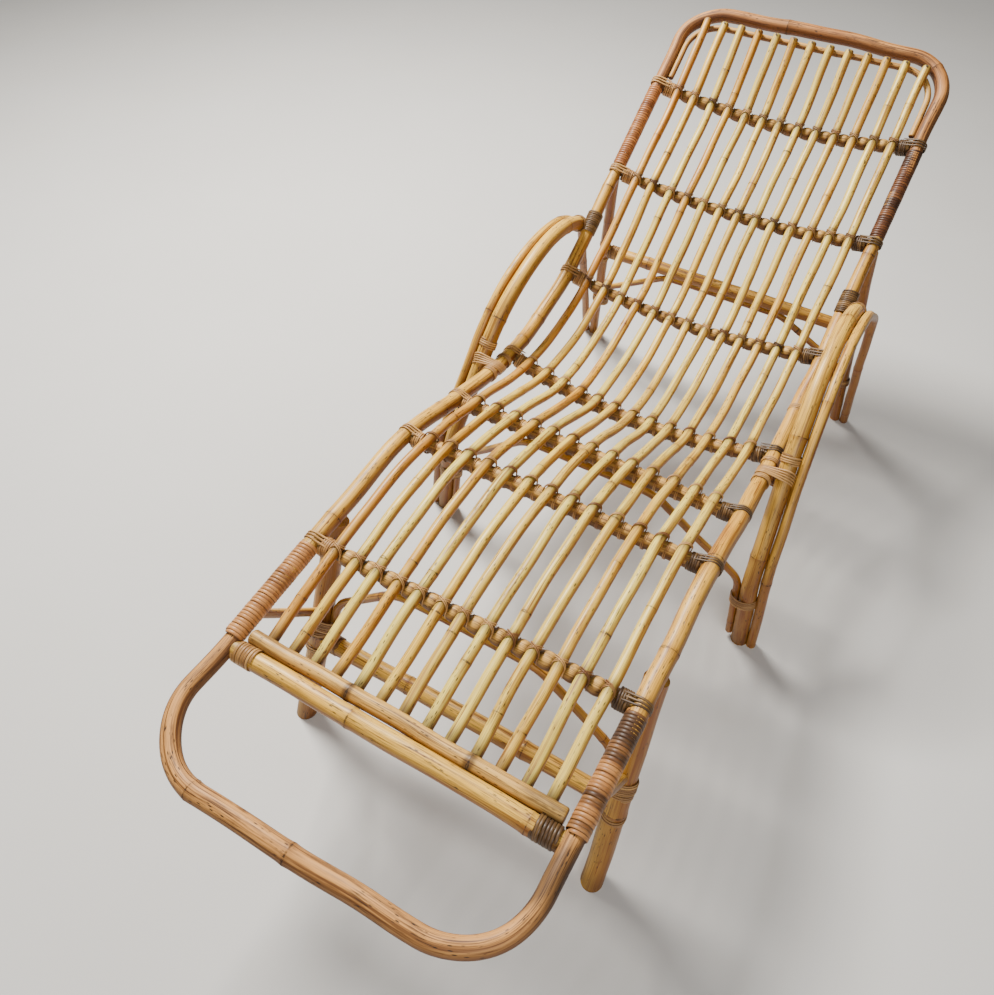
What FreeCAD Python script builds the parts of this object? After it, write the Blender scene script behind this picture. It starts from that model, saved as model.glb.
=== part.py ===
"""Rattan chaise longue: bent poles, rungs and slats, notched and lashed together with peel.

Seen from the foot end, +X runs to the right, +Y to the head and +Z up.
The origin lies on the floor, under the middle of the length and the width.
"""
import FreeCAD
import Part
import math
import os
from FreeCAD import Placement, Rotation, Vector

SIZES = [
    ("rail_spacing", 492.0, "between the axes of the two side rails"),
    ("rail_diameter", 26.0, "side rail pole"),
    ("head_hoop_diameter", 24.0, "head hoop pole"),
    ("foot_hoop_diameter", 25.0, "foot hoop pole"),
    ("liner_diameter", 11.0, "thin cane inside the head hoop"),
    ("crossbar_diameter", 27.0, "front crossbar pole"),
    ("end_rail_diameter", 22.0, "cane that the slats butt against at the foot"),
    ("rung_diameter", 24.0, "notched rungs under the slats"),
    ("slat_diameter", 15.5, "lengthwise slats"),
    ("slat_pitch", 34.0, "between neighbouring slats"),
    ("back_angle", 33.3, "degrees that the back rises"),
    ("seat_angle", 14.5, "degrees that the seat falls to the back"),
    ("leg_angle", 4.7, "degrees that the leg rest falls to the foot"),
    ("knee_height", 395.0, "floor to the knee corner of the rail axis"),
    ("back_run", 730.0, "lumbar corner to the top of the head hoop"),
    ("seat_run", 452.0, "lumbar corner to knee corner"),
    ("leg_run", 552.0, "knee corner to the front of the foot hoop"),
    ("lumbar_radius", 460.0, "bend of the rail at the small of the back"),
    ("knee_radius", 200.0, "bend of the rail at the knee"),
    ("head_rung_at", 170.0, "down the frame from the top of the head hoop"),
    ("upper_rung_at", 362.0, "down the frame"),
    ("lower_rung_at", 584.0, "down the frame"),
    ("lumbar_rung_at", 808.0, "down the frame"),
    ("seat_rung_at", 995.0, "down the frame"),
    ("knee_rung_at", 1138.0, "down the frame"),
    ("calf_rung_at", 1368.0, "down the frame"),
    ("crossbar_at", 1549.0, "down the frame"),
    ("head_dish", 38.0, "hollow of the head rung"),
    ("upper_dish", 38.0, "hollow of the upper back rung"),
    ("lower_dish", 48.0, "hollow of the lower back rung"),
    ("lumbar_dish", 40.0, "hollow of the lumbar rung"),
    ("rung_drop", 5.0, "rung axes below the rail axes"),
    ("cope_inset", 10.0, "end of a cross piece inside the rail's axis"),
    ("crossbar_drop", 6.0, "crossbar axis below the rail axes"),
    ("notch_depth", 5.0, "notch in a rung that holds a slat"),
    ("seat_notch_depth", 2.5, "shallow notch in the lumbar, seat and knee rungs"),
    ("liner_inset", 31.0, "top of the head hoop to the liner's cross run"),
    ("liner_notch_depth", 1.5, "flat of a slat on the liner"),
    ("slat_overhang", 3.0, "slat past the liner"),
    ("end_rail_gap", 3.0, "between the crossbar and the cane behind it"),
    ("end_rail_drop", 4.0, "slat axis over the cane that it butts against"),
    ("head_corner_radius", 75.0, "corner bends of the head hoop"),
    ("head_crown", 7.0, "rise of the middle of the head hoop"),
    ("foot_corner_radius", 100.0, "corner bends of the foot hoop"),
    ("foot_crown", 4.0, "rise of the middle of the foot hoop"),
    ("foot_skew", 6.0, "left corner of the foot hoop ahead of its middle, and right corner behind it"),
    ("liner_corner_radius", 58.0, "corner bends of the liner"),
    ("scarf_length", 100.0, "slanted joint between a rail and a hoop"),
    ("scarf_nib", 2.0, "blunt tip of a scarf"),
    ("arm_diameter", 25.0, "arm pole, which is also the middle leg"),
    ("rider_diameter", 17.0, "thin cane along the outside of the arm"),
    ("arm_foot_spread", 622.0, "between the middle feet"),
    ("arm_lean", 6.0, "degrees that the arm leans in at its top"),
    ("arm_foot_back", 44.0, "middle foot behind the seat rung"),
    ("arm_knuckle_back", 40.0, "bend of the middle leg behind the seat rung"),
    ("arm_knuckle_height", 185.0, "bend of the middle leg over the floor"),
    ("arm_knuckle_radius", 160.0, "bend of the middle leg"),
    ("arm_shin_angle", 57.0, "degrees that the arm rises over its bend"),
    ("arm_tail_angle", 35.0, "degrees that the arm falls to its tail"),
    ("arm_tail_at", 486.0, "where the tail meets the rail, down the frame"),
    ("arm_tail_past", 16.0, "tail past the rail's axis"),
    ("arm_tail_run", 13.0, "straight end of the tail, after the bow"),
    ("rider_gap", 4.8, "between the arm and its rider, where the bindings pass"),
    ("rider_shoulder_back", 555.0, "rear bend of the rider behind the seat rung"),
    ("rider_shoulder_radius", 70.0, "rear bend of the rider"),
    ("leg_cope_inset", 6.0, "end of a bar inside the leg's axis"),
    ("back_leg_diameter", 20.0, "rear leg pole"),
    ("back_leg_inset", -4.0, "top of the rear leg inside the rail's axis, outside when below nought"),
    ("back_leg_rake", 110.0, "rear foot behind the upper back rung"),
    ("back_foot_spread", 600.0, "between the rear feet"),
    ("back_bar_diameter", 26.0, "bar between the rear legs"),
    ("back_bar_height", 274.0, "bar between the rear legs over the floor"),
    ("front_leg_diameter", 34.0, "front leg pole"),
    ("front_leg_drop", 6.0, "top of the front leg below the rail's axis"),
    ("front_leg_at", 1315.0, "where the front leg meets the rail, down the frame"),
    ("front_leg_reach", 142.0, "front foot ahead of the leg's top"),
    ("front_foot_spread", 530.0, "between the front feet"),
    ("stretcher_diameter", 28.0, "bar between the front legs"),
    ("stretcher_height", 158.0, "bar between the front legs over the floor"),
    ("arch_diameter", 13.0, "thin arched braces"),
    ("arch_end_run", 55.0, "end of the front or rear arch along its leg"),
    ("mid_arch_end_run", 150.0, "end of the middle arch along its leg"),
    ("arch_bend_radius", 55.0, "bends of the arches"),
    ("mid_arch_height", 14.0, "lower end of the middle arch over the floor"),
    ("mid_arch_binding", 118.0, "binding of the middle arch over the floor"),
    ("mid_arch_flat", 230.0, "flat top of the middle arch"),
    ("front_arch_height", 180.0, "lower end of the front arch over the floor"),
    ("front_arch_binding", 190.0, "binding of the front arch over the floor"),
    ("front_arch_flat", 220.0, "flat top of the front arch"),
    ("back_arch_height", 110.0, "lower end of the rear arch over the floor"),
    ("back_arch_binding", 120.0, "binding of the rear arch over the floor"),
    ("back_arch_flat", 250.0, "flat top of the rear arch"),
    ("brace_diameter", 14.0, "knee brace"),
    ("brace_height", 205.0, "knee brace on the front leg over the floor"),
    ("brace_at", 1500.0, "knee brace on the rail, down the frame"),
    ("wrap_strand", 2.2, "peel of the long wraps"),
    ("wrap_margin", 26.0, "long wrap short of the rungs beside it"),
    ("binding_strand", 2.2, "peel of the bindings"),
    ("binding_pitch", 2.7, "step of a binding"),
    ("binding_slack", 1.7, "room at the long ends of a binding round two canes"),
    ("arm_tail_binding_at", 445.0, "binding of the rail over the arm's tail, down the frame"),
    ("rail_band_at", 690.0, "mending band on the right rail, down the frame"),
    ("lashing_strand", 1.8, "peel of the slat lashings"),
    ("lashing_clearance", 0.6, "between a lashing and what it ties"),
    ("lashing_splay", 45.0, "degrees that a lashing crosses its slat"),
    ("strand_gap", 0.5, "between crossing strands of a lashing"),
    ("nail_diameter", 1.6, "shank of a slat nail"),
    ("nail_head_diameter", 3.2, "head of a slat nail"),
    ("nail_head_height", 1.0, "head of a slat nail"),
    ("nail_depth", 17.0, "shank of a slat nail under its head"),
    ("clearance", 0.3, "between fitted pieces"),
]
SLAT_COUNT = 13
WRAP_TURNS = 24
RUNG_BINDING_TURNS = 3
BAR_BINDING_TURNS = 5
ARM_BINDING_TURNS = 5
ARCH_BINDING_TURNS = 4
RAIL_BAND_TURNS = 3
LASHING_TURNS = 2
NUDGE = 1e-4
SIDES = (("left", -1), ("right", 1))

doc = FreeCAD.newDocument("chaise_longue")
sheet = doc.addObject("Spreadsheet::Sheet", "Sizes")
for row, (alias, value, meaning) in enumerate(SIZES, start=1):
    sheet.set("A%d" % row, meaning)
    sheet.set("B%d" % row, str(value))
    sheet.setAlias("B%d" % row, alias)
doc.recompute()

nodes = {}


def size(alias):
    """A driving dimension, as a number."""
    return float(sheet.get(alias))


def radius(alias):
    return size(alias) / 2


def tangent_of(angle):
    return math.tan(math.radians(angle))


# Paths of straight runs and tangent arcs

def line(start, end):
    return Part.LineSegment(start, end).toShape()


def rounded(corners, radii):
    """Edges along corner points, each inner corner rounded with its radius."""
    edges = []
    start = corners[0]
    for before, corner, after, bend in zip(corners, corners[1:], corners[2:], radii):
        back = (before - corner).normalize()
        on = (after - corner).normalize()
        half = back.getAngle(on) / 2
        reach = bend / math.tan(half)
        first = corner + back * reach
        last = corner + on * reach
        middle = corner + (back + on).normalize() * (bend / math.sin(half) - bend)
        edges.append(line(start, first))
        edges.append(Part.Arc(first, middle, last).toShape())
        start = last
    edges.append(line(start, corners[-1]))
    return edges


def arc_from(start, tangent, end):
    """The arc that leaves start along tangent and reaches end, or a line where it runs straight."""
    chord = end - start
    along = tangent.dot(chord)
    lift = chord - tangent * along
    if lift.Length < 1e-4 * chord.Length:
        return line(start, end)
    turn = math.atan2(lift.Length, along)
    middle = (start + end) / 2 - (lift.normalize() * math.cos(turn)
                                  - tangent * math.sin(turn)) * (chord.Length / 2 * math.tan(turn / 2))
    return Part.Arc(start, middle, end).toShape()


def biarcs(points, tangents):
    """Two tangent arcs from each point to the next."""
    edges = []
    for start, end, leave, reach in zip(points, points[1:], tangents, tangents[1:]):
        chord = end - start
        both = leave + reach
        spread = 2 * (1 - leave.dot(reach))
        forward = chord.dot(both)
        if spread < 1e-9:
            handle = chord.dot(chord) / (2 * forward)
        else:
            handle = (math.sqrt(forward ** 2 + spread * chord.dot(chord)) - forward) / spread
        joint = (start + leave * handle + end - reach * handle) / 2
        edges.append(arc_from(start, leave, joint))
        edges.append(arc_from(end, reach * -1, joint))
    return edges


def along(edges, distance):
    """Point and direction at a distance along edges that follow each other."""
    for edge in edges:
        if distance <= edge.Length or edge is edges[-1]:
            place = edge.getParameterByLength(min(distance, edge.Length))
            return edge.valueAt(place), edge.tangentAt(place)
        distance -= edge.Length


# Document objects for canes and cuts

def spine(name, edges):
    path = doc.addObject("Part::Feature", name + "_path")
    path.Shape = Part.Wire(edges)
    return path


def bent_cane(name, edges, thickness):
    """A round cane swept along edges; thickness is an expression for its radius."""
    path = spine(name, edges)
    first = path.Shape.Edges[0]
    section = doc.addObject("Part::Circle", name + "_section")
    section.setExpression("Radius", thickness)
    facing = Rotation(Vector(0, 0, 1), first.tangentAt(first.FirstParameter))
    section.Placement = Placement(first.valueAt(first.FirstParameter), facing)
    sweep = doc.addObject("Part::Sweep", name)
    sweep.Sections = [section]
    sweep.Spine = (path, ["Edge%d" % (i + 1) for i in range(len(path.Shape.Edges))])
    sweep.Solid = True
    sweep.Frenet = False
    return sweep


def straight_cane(name, start, end, thickness):
    """A round cane from start to end."""
    pole = doc.addObject("Part::Cylinder", name)
    pole.setExpression("Radius", thickness)
    pole.Height = (end - start).Length
    pole.Placement = Placement(start, Rotation(Vector(0, 0, 1), end - start))
    return pole


def cut(name, base, tools):
    """Base less all tools, each a document object."""
    result = base
    for number, tool in enumerate(tools):
        less = doc.addObject("Part::Cut", "%s_cut%d" % (name, number))
        less.Base = result
        less.Tool = tool
        result = less
    return result


def group(name, shapes):
    """Separate solids in one object."""
    feature = doc.addObject("Part::Feature", name)
    feature.Shape = Part.makeCompound(shapes)
    return feature


def keep(name, shape_object):
    shape_object.Label = name
    nodes[name] = shape_object


def half(alias):
    return "Sizes.%s / 2" % alias


def loose(alias):
    """Expression for the radius of a cane's seat."""
    return "Sizes.%s / 2 + Sizes.clearance" % alias


# Line of the frame, from the top of the head hoop to the front of the foot hoop

def heading(angle):
    return Vector(0, math.cos(math.radians(angle)), math.sin(math.radians(angle)))


knee_corner = Vector(0, 0, size("knee_height"))
lumbar_corner = knee_corner + heading(-size("seat_angle")) * size("seat_run")
head_top = lumbar_corner + heading(size("back_angle")) * size("back_run")
foot_front = knee_corner - heading(size("leg_angle")) * size("leg_run")
head_extreme = head_top.y + radius("head_hoop_diameter")
foot_extreme = foot_front.y - radius("foot_hoop_diameter")
middle_shift = Vector(0, (head_extreme + foot_extreme) / 2, 0)
frame_corners = [corner - middle_shift for corner in (head_top, lumbar_corner, knee_corner, foot_front)]
frame_radii = [size("lumbar_radius"), size("knee_radius")]
frame_line = rounded(frame_corners, frame_radii)
frame_length = sum(edge.Length for edge in frame_line)
half_width = size("rail_spacing") / 2


def station(distance, lift=0.0, across=0.0):
    """Point at a distance down the frame, lifted off the rail axis towards the sitter."""
    point, run = along(frame_line, distance)
    return point + Vector(0, run.z, -run.y) * lift + Vector(across, 0, 0)


def run_at(distance):
    return along(frame_line, distance)[1]


def lift_at(distance):
    run = run_at(distance)
    return Vector(0, run.z, -run.y)


seat_rung_y = station(size("seat_rung_at")).y

# Scarf joints: a rail and a hoop end in the same slanted plane

head_scarf = (size("head_rung_at") + size("upper_rung_at")) / 2
foot_scarf = (size("calf_rung_at") + size("crossbar_at")) / 2
scarf_half = size("scarf_length") / 2
scarf_angle = math.degrees(math.atan2(size("rail_diameter") - 2 * size("scarf_nib"), size("scarf_length")))
SCARF_TOOL = (80.0, 300.0, 80.0)


def scarf_tool(name, distance, across, over, to_foot):
    """Block on one side of the slanted plane of a scarf."""
    width, length, height = SCARF_TOOL
    block = doc.addObject("Part::Box", name)
    block.Length = width
    block.Width = length
    block.Height = height
    turn = Rotation(Vector(0, 1, 0), run_at(distance))
    tilt = Rotation(Vector(1, 0, 0), -scarf_angle if to_foot else scarf_angle)
    lift = -size("clearance") / 2 if over else size("clearance") / 2 - height
    block.Placement = Placement(station(distance, 0, across), turn.multiply(tilt)).multiply(
        Placement(Vector(-width / 2, -length / 2, lift), Rotation()))
    return block


def rail_edges(side):
    tips = station(head_scarf - scarf_half), station(foot_scarf + scarf_half)
    corners = [tips[0]] + frame_corners[1:3] + [tips[1]]
    return rounded([corner + Vector(side * half_width, 0, 0) for corner in corners], frame_radii)


rail_seats = []
for hand, side in SIDES:
    pole = bent_cane(hand + "_rail_pole", rail_edges(side), half("rail_diameter"))
    ends = [scarf_tool(hand + "_rail_head_scarf", head_scarf, side * half_width, True, False),
            scarf_tool(hand + "_rail_foot_scarf", foot_scarf, side * half_width, True, True)]
    keep(hand + "_side_rail", cut(hand + "_rail", pole, ends))
    rail_seats.append(bent_cane(hand + "_rail_seat", rail_edges(side), loose("rail_diameter")))


CROWN_SHARE = 0.9


def hoop_edges(apex, inward, end, half_span, corner_radius, crown, skew=0.0):
    """A U from one end to the other: two legs, two bends and a crowned cross run."""
    slope = math.atan2(crown, half_span)
    corner_reach = corner_radius * math.tan((math.pi / 2 - slope) / 2)
    crown_radius = CROWN_SHARE * (math.hypot(half_span, crown) - corner_reach) / math.tan(slope)
    peak = crown_radius * (1 / math.cos(slope) - 1)
    across = Vector(half_span, 0, 0)
    shoulder = apex + inward * (crown - peak)
    tip = apex + inward * end
    aslant = inward * skew
    corners = [tip - across, shoulder - across - aslant, apex - inward * peak,
               shoulder + across + aslant, tip + across]
    return rounded(corners, [corner_radius, crown_radius, corner_radius])


head_down = run_at(0)
head_edges = hoop_edges(frame_corners[0], head_down, head_scarf + scarf_half, half_width,
                        size("head_corner_radius"), size("head_crown"))
head_pole = bent_cane("head_hoop_pole", head_edges, half("head_hoop_diameter"))
head_tools = [scarf_tool(hand + "_head_hoop_scarf", head_scarf, side * half_width, False, False)
              for hand, side in SIDES]
keep("head_hoop", cut("head_hoop", head_pole, head_tools))

foot_up = run_at(frame_length) * -1
foot_edges = hoop_edges(frame_corners[3], foot_up, frame_length - foot_scarf + scarf_half, half_width,
                        size("foot_corner_radius"), size("foot_crown"), size("foot_skew"))
foot_pole = bent_cane("foot_hoop_pole", foot_edges, half("foot_hoop_diameter"))
foot_tools = [scarf_tool(hand + "_foot_hoop_scarf", foot_scarf, side * half_width, False, True)
              for hand, side in SIDES]
keep("foot_hoop", cut("foot_hoop", foot_pole, foot_tools))

hoop_seats = [bent_cane("head_hoop_seat", head_edges, loose("head_hoop_diameter")),
              bent_cane("foot_hoop_seat", foot_edges, loose("foot_hoop_diameter"))]
frame_seats = rail_seats + hoop_seats

# Rungs: name, place down the frame, hollow and notch

RUNGS = [
    ("head", "head_rung_at", "head_dish", "notch_depth"),
    ("upper_back", "upper_rung_at", "upper_dish", "notch_depth"),
    ("lower_back", "lower_rung_at", "lower_dish", "notch_depth"),
    ("lumbar", "lumbar_rung_at", "lumbar_dish", "seat_notch_depth"),
    ("seat", "seat_rung_at", None, "seat_notch_depth"),
    ("knee", "knee_rung_at", None, "seat_notch_depth"),
    ("calf", "calf_rung_at", None, "notch_depth"),
]
slat_places = [(number - (SLAT_COUNT - 1) / 2) * size("slat_pitch") for number in range(SLAT_COUNT)]


def dish_at(dish, across):
    """Depth of a hollow rung at a distance from the middle, along its arc."""
    if not dish:
        return 0.0
    depth = size(dish)
    bend = (half_width ** 2 + depth ** 2) / (2 * depth)
    return math.sqrt(bend ** 2 - across ** 2) - (bend - depth)


def rung_point(place, dish, across):
    return station(size(place), -size("rung_drop") - dish_at(dish, across), across)


def rung_run_at(place, dish, across):
    """Direction of a rung at a distance from the middle."""
    return (rung_point(place, dish, across + NUDGE) - rung_point(place, dish, across - NUDGE)).normalize()


def slat_over(notch):
    """Slat axis over rung axis at a crossing."""
    return radius("rung_diameter") + radius("slat_diameter") - size(notch)


def slat_crossings(across):
    """Points of a slat's axis over the liner, each rung and the cane at its foot."""
    over_liner = radius("liner_diameter") + radius("slat_diameter") - size("liner_notch_depth")
    points = [station(size("liner_inset") - size("slat_overhang"), over_liner, across)]
    for name, place, dish, notch in RUNGS:
        points.append(rung_point(place, dish, across) + lift_at(size(place)) * slat_over(notch))
    points.append(station(end_rail_at, size("end_rail_drop") - size("crossbar_drop"), across))
    return points


def middle_directions(points):
    """Directions at points, each along the circle through the point and its two neighbours."""
    chords = [(after - before).normalize() for before, after in zip(points, points[1:])]
    runs = []
    for index in range(1, len(points) - 1):
        ahead = (points[index + 1] - points[index]).Length
        behind = (points[index] - points[index - 1]).Length
        runs.append((chords[index - 1] * ahead + chords[index] * behind).normalize())
    return [chords[0]] + runs + [chords[-1]]


end_rail_reach = radius("crossbar_diameter") + size("end_rail_gap") + radius("end_rail_diameter")
end_rail_at = size("crossbar_at") - end_rail_reach
slat_points = [slat_crossings(across) for across in slat_places]
slat_runs = [middle_directions(points) for points in slat_points]


def rail_ends(distance, lift):
    """Ends of a cross piece, inside the rails' axes."""
    return [station(distance, lift, side * (half_width - size("cope_inset"))) for hand, side in SIDES]


NOTCH_REACH = 40.0


def slat_seats(name, crossing):
    """Round grooves where the slats cross a rung or the liner."""
    grooves = []
    for points, runs in zip(slat_points, slat_runs):
        start = points[crossing] - runs[crossing] * NOTCH_REACH
        groove_radius = radius("slat_diameter") + size("clearance")
        grooves.append(Part.makeCylinder(groove_radius, 2 * NOTCH_REACH, start, runs[crossing]))
    return group(name + "_grooves", grooves)


BOUND_RUNG = "Sizes.rung_diameter / 2 + Sizes.binding_strand + 2 * Sizes.clearance"
bound_seats = {}
for crossing, (name, place, dish, notch) in enumerate(RUNGS, start=1):
    reach = half_width - size("cope_inset")
    left_end, right_end = [rung_point(place, dish, side * reach) for hand, side in SIDES]
    if dish:
        edges = [Part.Arc(left_end, rung_point(place, dish, 0), right_end).toShape()]
    else:
        edges = [line(left_end, right_end)]
    pole = bent_cane(name + "_rung_pole", edges, half("rung_diameter"))
    bound_seats[name] = bent_cane(name + "_bound_seat", edges, BOUND_RUNG)
    keep(name + "_rung", cut(name + "_rung", pole, frame_seats + [slat_seats(name, crossing)]))

# Front crossbar and the cane behind it that the slats butt against

wrapped_seats = []
for hand, side in SIDES:
    seat = doc.addObject("Part::Cylinder", hand + "_wrapped_seat")
    seat.setExpression("Radius", "Sizes.rail_diameter / 2 + Sizes.wrap_strand + 2 * Sizes.clearance")
    seat.Height = frame_length - size("calf_rung_at")
    seat.Placement = Placement(station(size("calf_rung_at"), 0, side * half_width),
                               Rotation(Vector(0, 0, 1), run_at(frame_length)))
    wrapped_seats.append(seat)

left_end, right_end = rail_ends(size("crossbar_at"), -size("crossbar_drop"))
crossbar = straight_cane("crossbar_pole", left_end, right_end, half("crossbar_diameter"))
keep("front_crossbar", cut("crossbar", crossbar, frame_seats))
left_end, right_end = rail_ends(end_rail_at, -size("crossbar_drop"))
end_rail = straight_cane("end_rail_pole", left_end, right_end, half("end_rail_diameter"))
keep("slat_end_rail", cut("end_rail", end_rail, wrapped_seats))
end_rail_seat = straight_cane("end_rail_seat", left_end, right_end, loose("end_rail_diameter"))

# Liner inside the head hoop, notched for the slat ends

liner_half = half_width - radius("head_hoop_diameter") - size("clearance") - radius("liner_diameter")
liner_top = station(size("liner_inset"))
liner_end = size("head_rung_at") - size("liner_inset")
liner_corners = [liner_top + head_down * end + Vector(across, 0, 0) for end, across in (
    (liner_end, -liner_half), (0, -liner_half), (0, liner_half), (liner_end, liner_half))]
liner_edges = rounded(liner_corners, [size("liner_corner_radius")] * 2)
liner = bent_cane("liner_pole", liner_edges, half("liner_diameter"))

# Nails through the slats into the liner

nail_seats = []
nails = []
for points, runs in zip(slat_points, slat_runs):
    out = lift_at(0)
    down = (runs[0] * runs[0].dot(out) - out).normalize()
    head_base = points[0] + runs[0] * size("slat_overhang") - down * radius("slat_diameter")
    shank = Part.makeCylinder(radius("nail_diameter"), size("nail_depth"), head_base, down)
    head = Part.makeCylinder(radius("nail_head_diameter"), size("nail_head_height"), head_base, down * -1)
    nails.append(shank.fuse(head))
    hole_depth = size("nail_depth") + size("clearance")
    hole_radius = radius("nail_diameter") + size("clearance") / 2
    nail_seats.append(Part.makeCylinder(hole_radius, hole_depth, head_base, down))
keep("slat_nails", group("slat_nails", nails))
nail_holes = group("nail_holes", nail_seats)
keep("head_liner", cut("liner", liner, [bound_seats["head"], slat_seats("liner", 0), nail_holes]))

for number, (points, runs) in enumerate(zip(slat_points, slat_runs), start=1):
    name = "slat_%02d" % number
    cane = bent_cane(name + "_cane", biarcs(points, runs), half("slat_diameter"))
    keep(name, cut(name, cane, [end_rail_seat, nail_holes]))

# Arms: each pole is the middle leg, rises outside the rail, bows and falls back to the rail

lean = tangent_of(size("arm_lean"))


def arm_point(side, back, height, outside=0.0):
    """Point of the leaning plane of an arm, behind the seat rung and over the floor."""
    return Vector(side * (size("arm_foot_spread") / 2 - height * lean + outside), seat_rung_y + back, height)


tail = station(size("arm_tail_at"))
tail_back = tail.y - seat_rung_y
shin = tangent_of(size("arm_shin_angle"))


fall = tangent_of(size("arm_tail_angle"))


def falling(back):
    """Place on the falling line of an arm."""
    return back, tail.z - (back - tail_back) * fall


def bow_corner():
    """Where the rising line of an arm meets its falling line."""
    start = size("arm_knuckle_height") - shin * size("arm_knuckle_back")
    back = (tail.z + fall * tail_back - start) / (shin + fall)
    return back, start + shin * back


def bend_before(before, corner, end, straight):
    """Radius of the bend at a corner that leaves a straight run before the end."""
    half = (before - corner).getAngle(end - corner) / 2
    return ((end - corner).Length - straight) * math.tan(half)


arm_bow = bow_corner()
tail_end = falling(tail_back + size("arm_tail_past"))
rider_out = radius("arm_diameter") + radius("rider_diameter") + size("rider_gap")
back_foot_y = station(size("upper_rung_at"), -size("rung_drop")).y + size("back_leg_rake")
rider_foot_out = radius("back_leg_diameter") + radius("rider_diameter") + size("clearance")

FLOOR_TOOL = (1000.0, 2400.0, 60.0)
FOOT_SINK = 30.0
floor = doc.addObject("Part::Box", "floor_tool")
floor.Length, floor.Width, floor.Height = FLOOR_TOOL
floor.Placement.Base = Vector(-FLOOR_TOOL[0] / 2, -FLOOR_TOOL[1] / 2, -FLOOR_TOOL[2])


def sunk(foot, above):
    """The point where a leg that goes on past its foot would end, before it is cut at the floor."""
    return foot + (foot - above).normalize() * FOOT_SINK


arm_legs = {}
for hand, side in SIDES:
    low = [(size("arm_foot_back"), 0.0), (size("arm_knuckle_back"), size("arm_knuckle_height"))]
    corners = [arm_point(side, back, height) for back, height in low + [arm_bow, tail_end]]
    arm_legs[hand] = corners[:2]
    bend_radii = [size("arm_knuckle_radius"), bend_before(*corners[1:], size("arm_tail_run"))]
    edges = rounded([sunk(*corners[:2])] + corners[1:], bend_radii)
    pole = bent_cane(hand + "_arm_bow", edges, half("arm_diameter"))
    keep(hand + "_arm_pole", cut(hand + "_arm", pole, [floor] + rail_seats))
    shoulder = falling(size("rider_shoulder_back"))
    corners = [arm_point(side, back, height, rider_out) for back, height in low + [arm_bow, shoulder]]
    rear_foot = Vector(side * (size("back_foot_spread") / 2 + rider_foot_out), back_foot_y, 0)
    corners = [sunk(*corners[:2])] + corners[1:] + [sunk(rear_foot, corners[-1])]
    edges = rounded(corners, bend_radii + [size("rider_shoulder_radius")])
    rider = bent_cane(hand + "_rider_bow", edges, half("rider_diameter"))
    keep(hand + "_arm_rider", cut(hand + "_rider", rider, [floor]))

# Straight legs under the rails, and the bars between them

back_legs = {}
front_legs = {}
leg_seats = {"back": [], "front": []}
for hand, side in SIDES:
    top = rung_point("upper_rung_at", "upper_dish", side * (half_width - size("back_leg_inset")))
    foot = Vector(side * size("back_foot_spread") / 2, back_foot_y, 0)
    back_legs[hand] = (foot, top)
    leg = straight_cane(hand + "_back_pole", sunk(foot, top), top, half("back_leg_diameter"))
    keep(hand + "_back_leg", cut(hand + "_back_leg", leg, [floor, bound_seats["upper_back"]] + rail_seats))
    seat = straight_cane(hand + "_back_leg_seat", foot, top, loose("back_leg_diameter"))
    leg_seats["back"].append(seat)
    top = station(size("front_leg_at"), -size("front_leg_drop"), side * half_width)
    foot = Vector(side * size("front_foot_spread") / 2, top.y - size("front_leg_reach"), 0)
    front_legs[hand] = (foot, top)
    leg = straight_cane(hand + "_front_pole", sunk(foot, top), top, half("front_leg_diameter"))
    keep(hand + "_front_leg", cut(hand + "_front_leg", leg, [floor] + rail_seats))
    seat = straight_cane(hand + "_front_leg_seat", foot, top, loose("front_leg_diameter"))
    leg_seats["front"].append(seat)


def on_leg(leg, height, inward=0.0, side=1):
    """Point of a leg's axis at a height, or beside it towards the middle of the chaise."""
    foot, top = leg
    axis = (top - foot).normalize()
    across = Vector(-side, 0, 0)
    across = (across - axis * axis.dot(across)).normalize()
    return foot + axis * (height / axis.z) + across * inward


def bar_ends(legs, height, inset=0.0):
    """Where a bar meets the axes of two legs, or inside them."""
    return [on_leg(legs[hand], size(height)) - Vector(side * inset, 0, 0) for hand, side in SIDES]


def leg_bar(name, legs, height, diameter, seats):
    """A bar between two legs, coped to both."""
    ends = bar_ends(legs, height, size("leg_cope_inset"))
    pole = straight_cane(name + "_pole", ends[0], ends[1], half(diameter))
    keep(name, cut(name, pole, seats))


leg_bar("back_crossbar", back_legs, "back_bar_height", "back_bar_diameter", leg_seats["back"])
leg_bar("front_stretcher", front_legs, "stretcher_height", "stretcher_diameter", leg_seats["front"])

for hand, side in SIDES:
    start = on_leg(front_legs[hand], size("brace_height"))
    end = station(size("brace_at"), 0, side * half_width)
    pole = straight_cane(hand + "_brace_pole", start, end, half("brace_diameter"))
    keep(hand + "_knee_brace", cut(hand + "_brace", pole, leg_seats["front"] + wrapped_seats))

# Thin arches: each end lies along a leg, and the flat top lies under a rung or a bar


lashing_step = size("lashing_strand") + size("strand_gap")
lashing_room = size("lashing_clearance") + radius("lashing_strand")
lashing_depth = lashing_room + LASHING_TURNS * lashing_step + radius("lashing_strand")


def under(point, diameter, lashed=0.0):
    """Point of an arch that lies against the underside of a cross piece or its lashings."""
    drop = radius(diameter) + lashed + radius("arch_diameter") + size("clearance")
    return Vector(0, point.y, point.z - drop)


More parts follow.
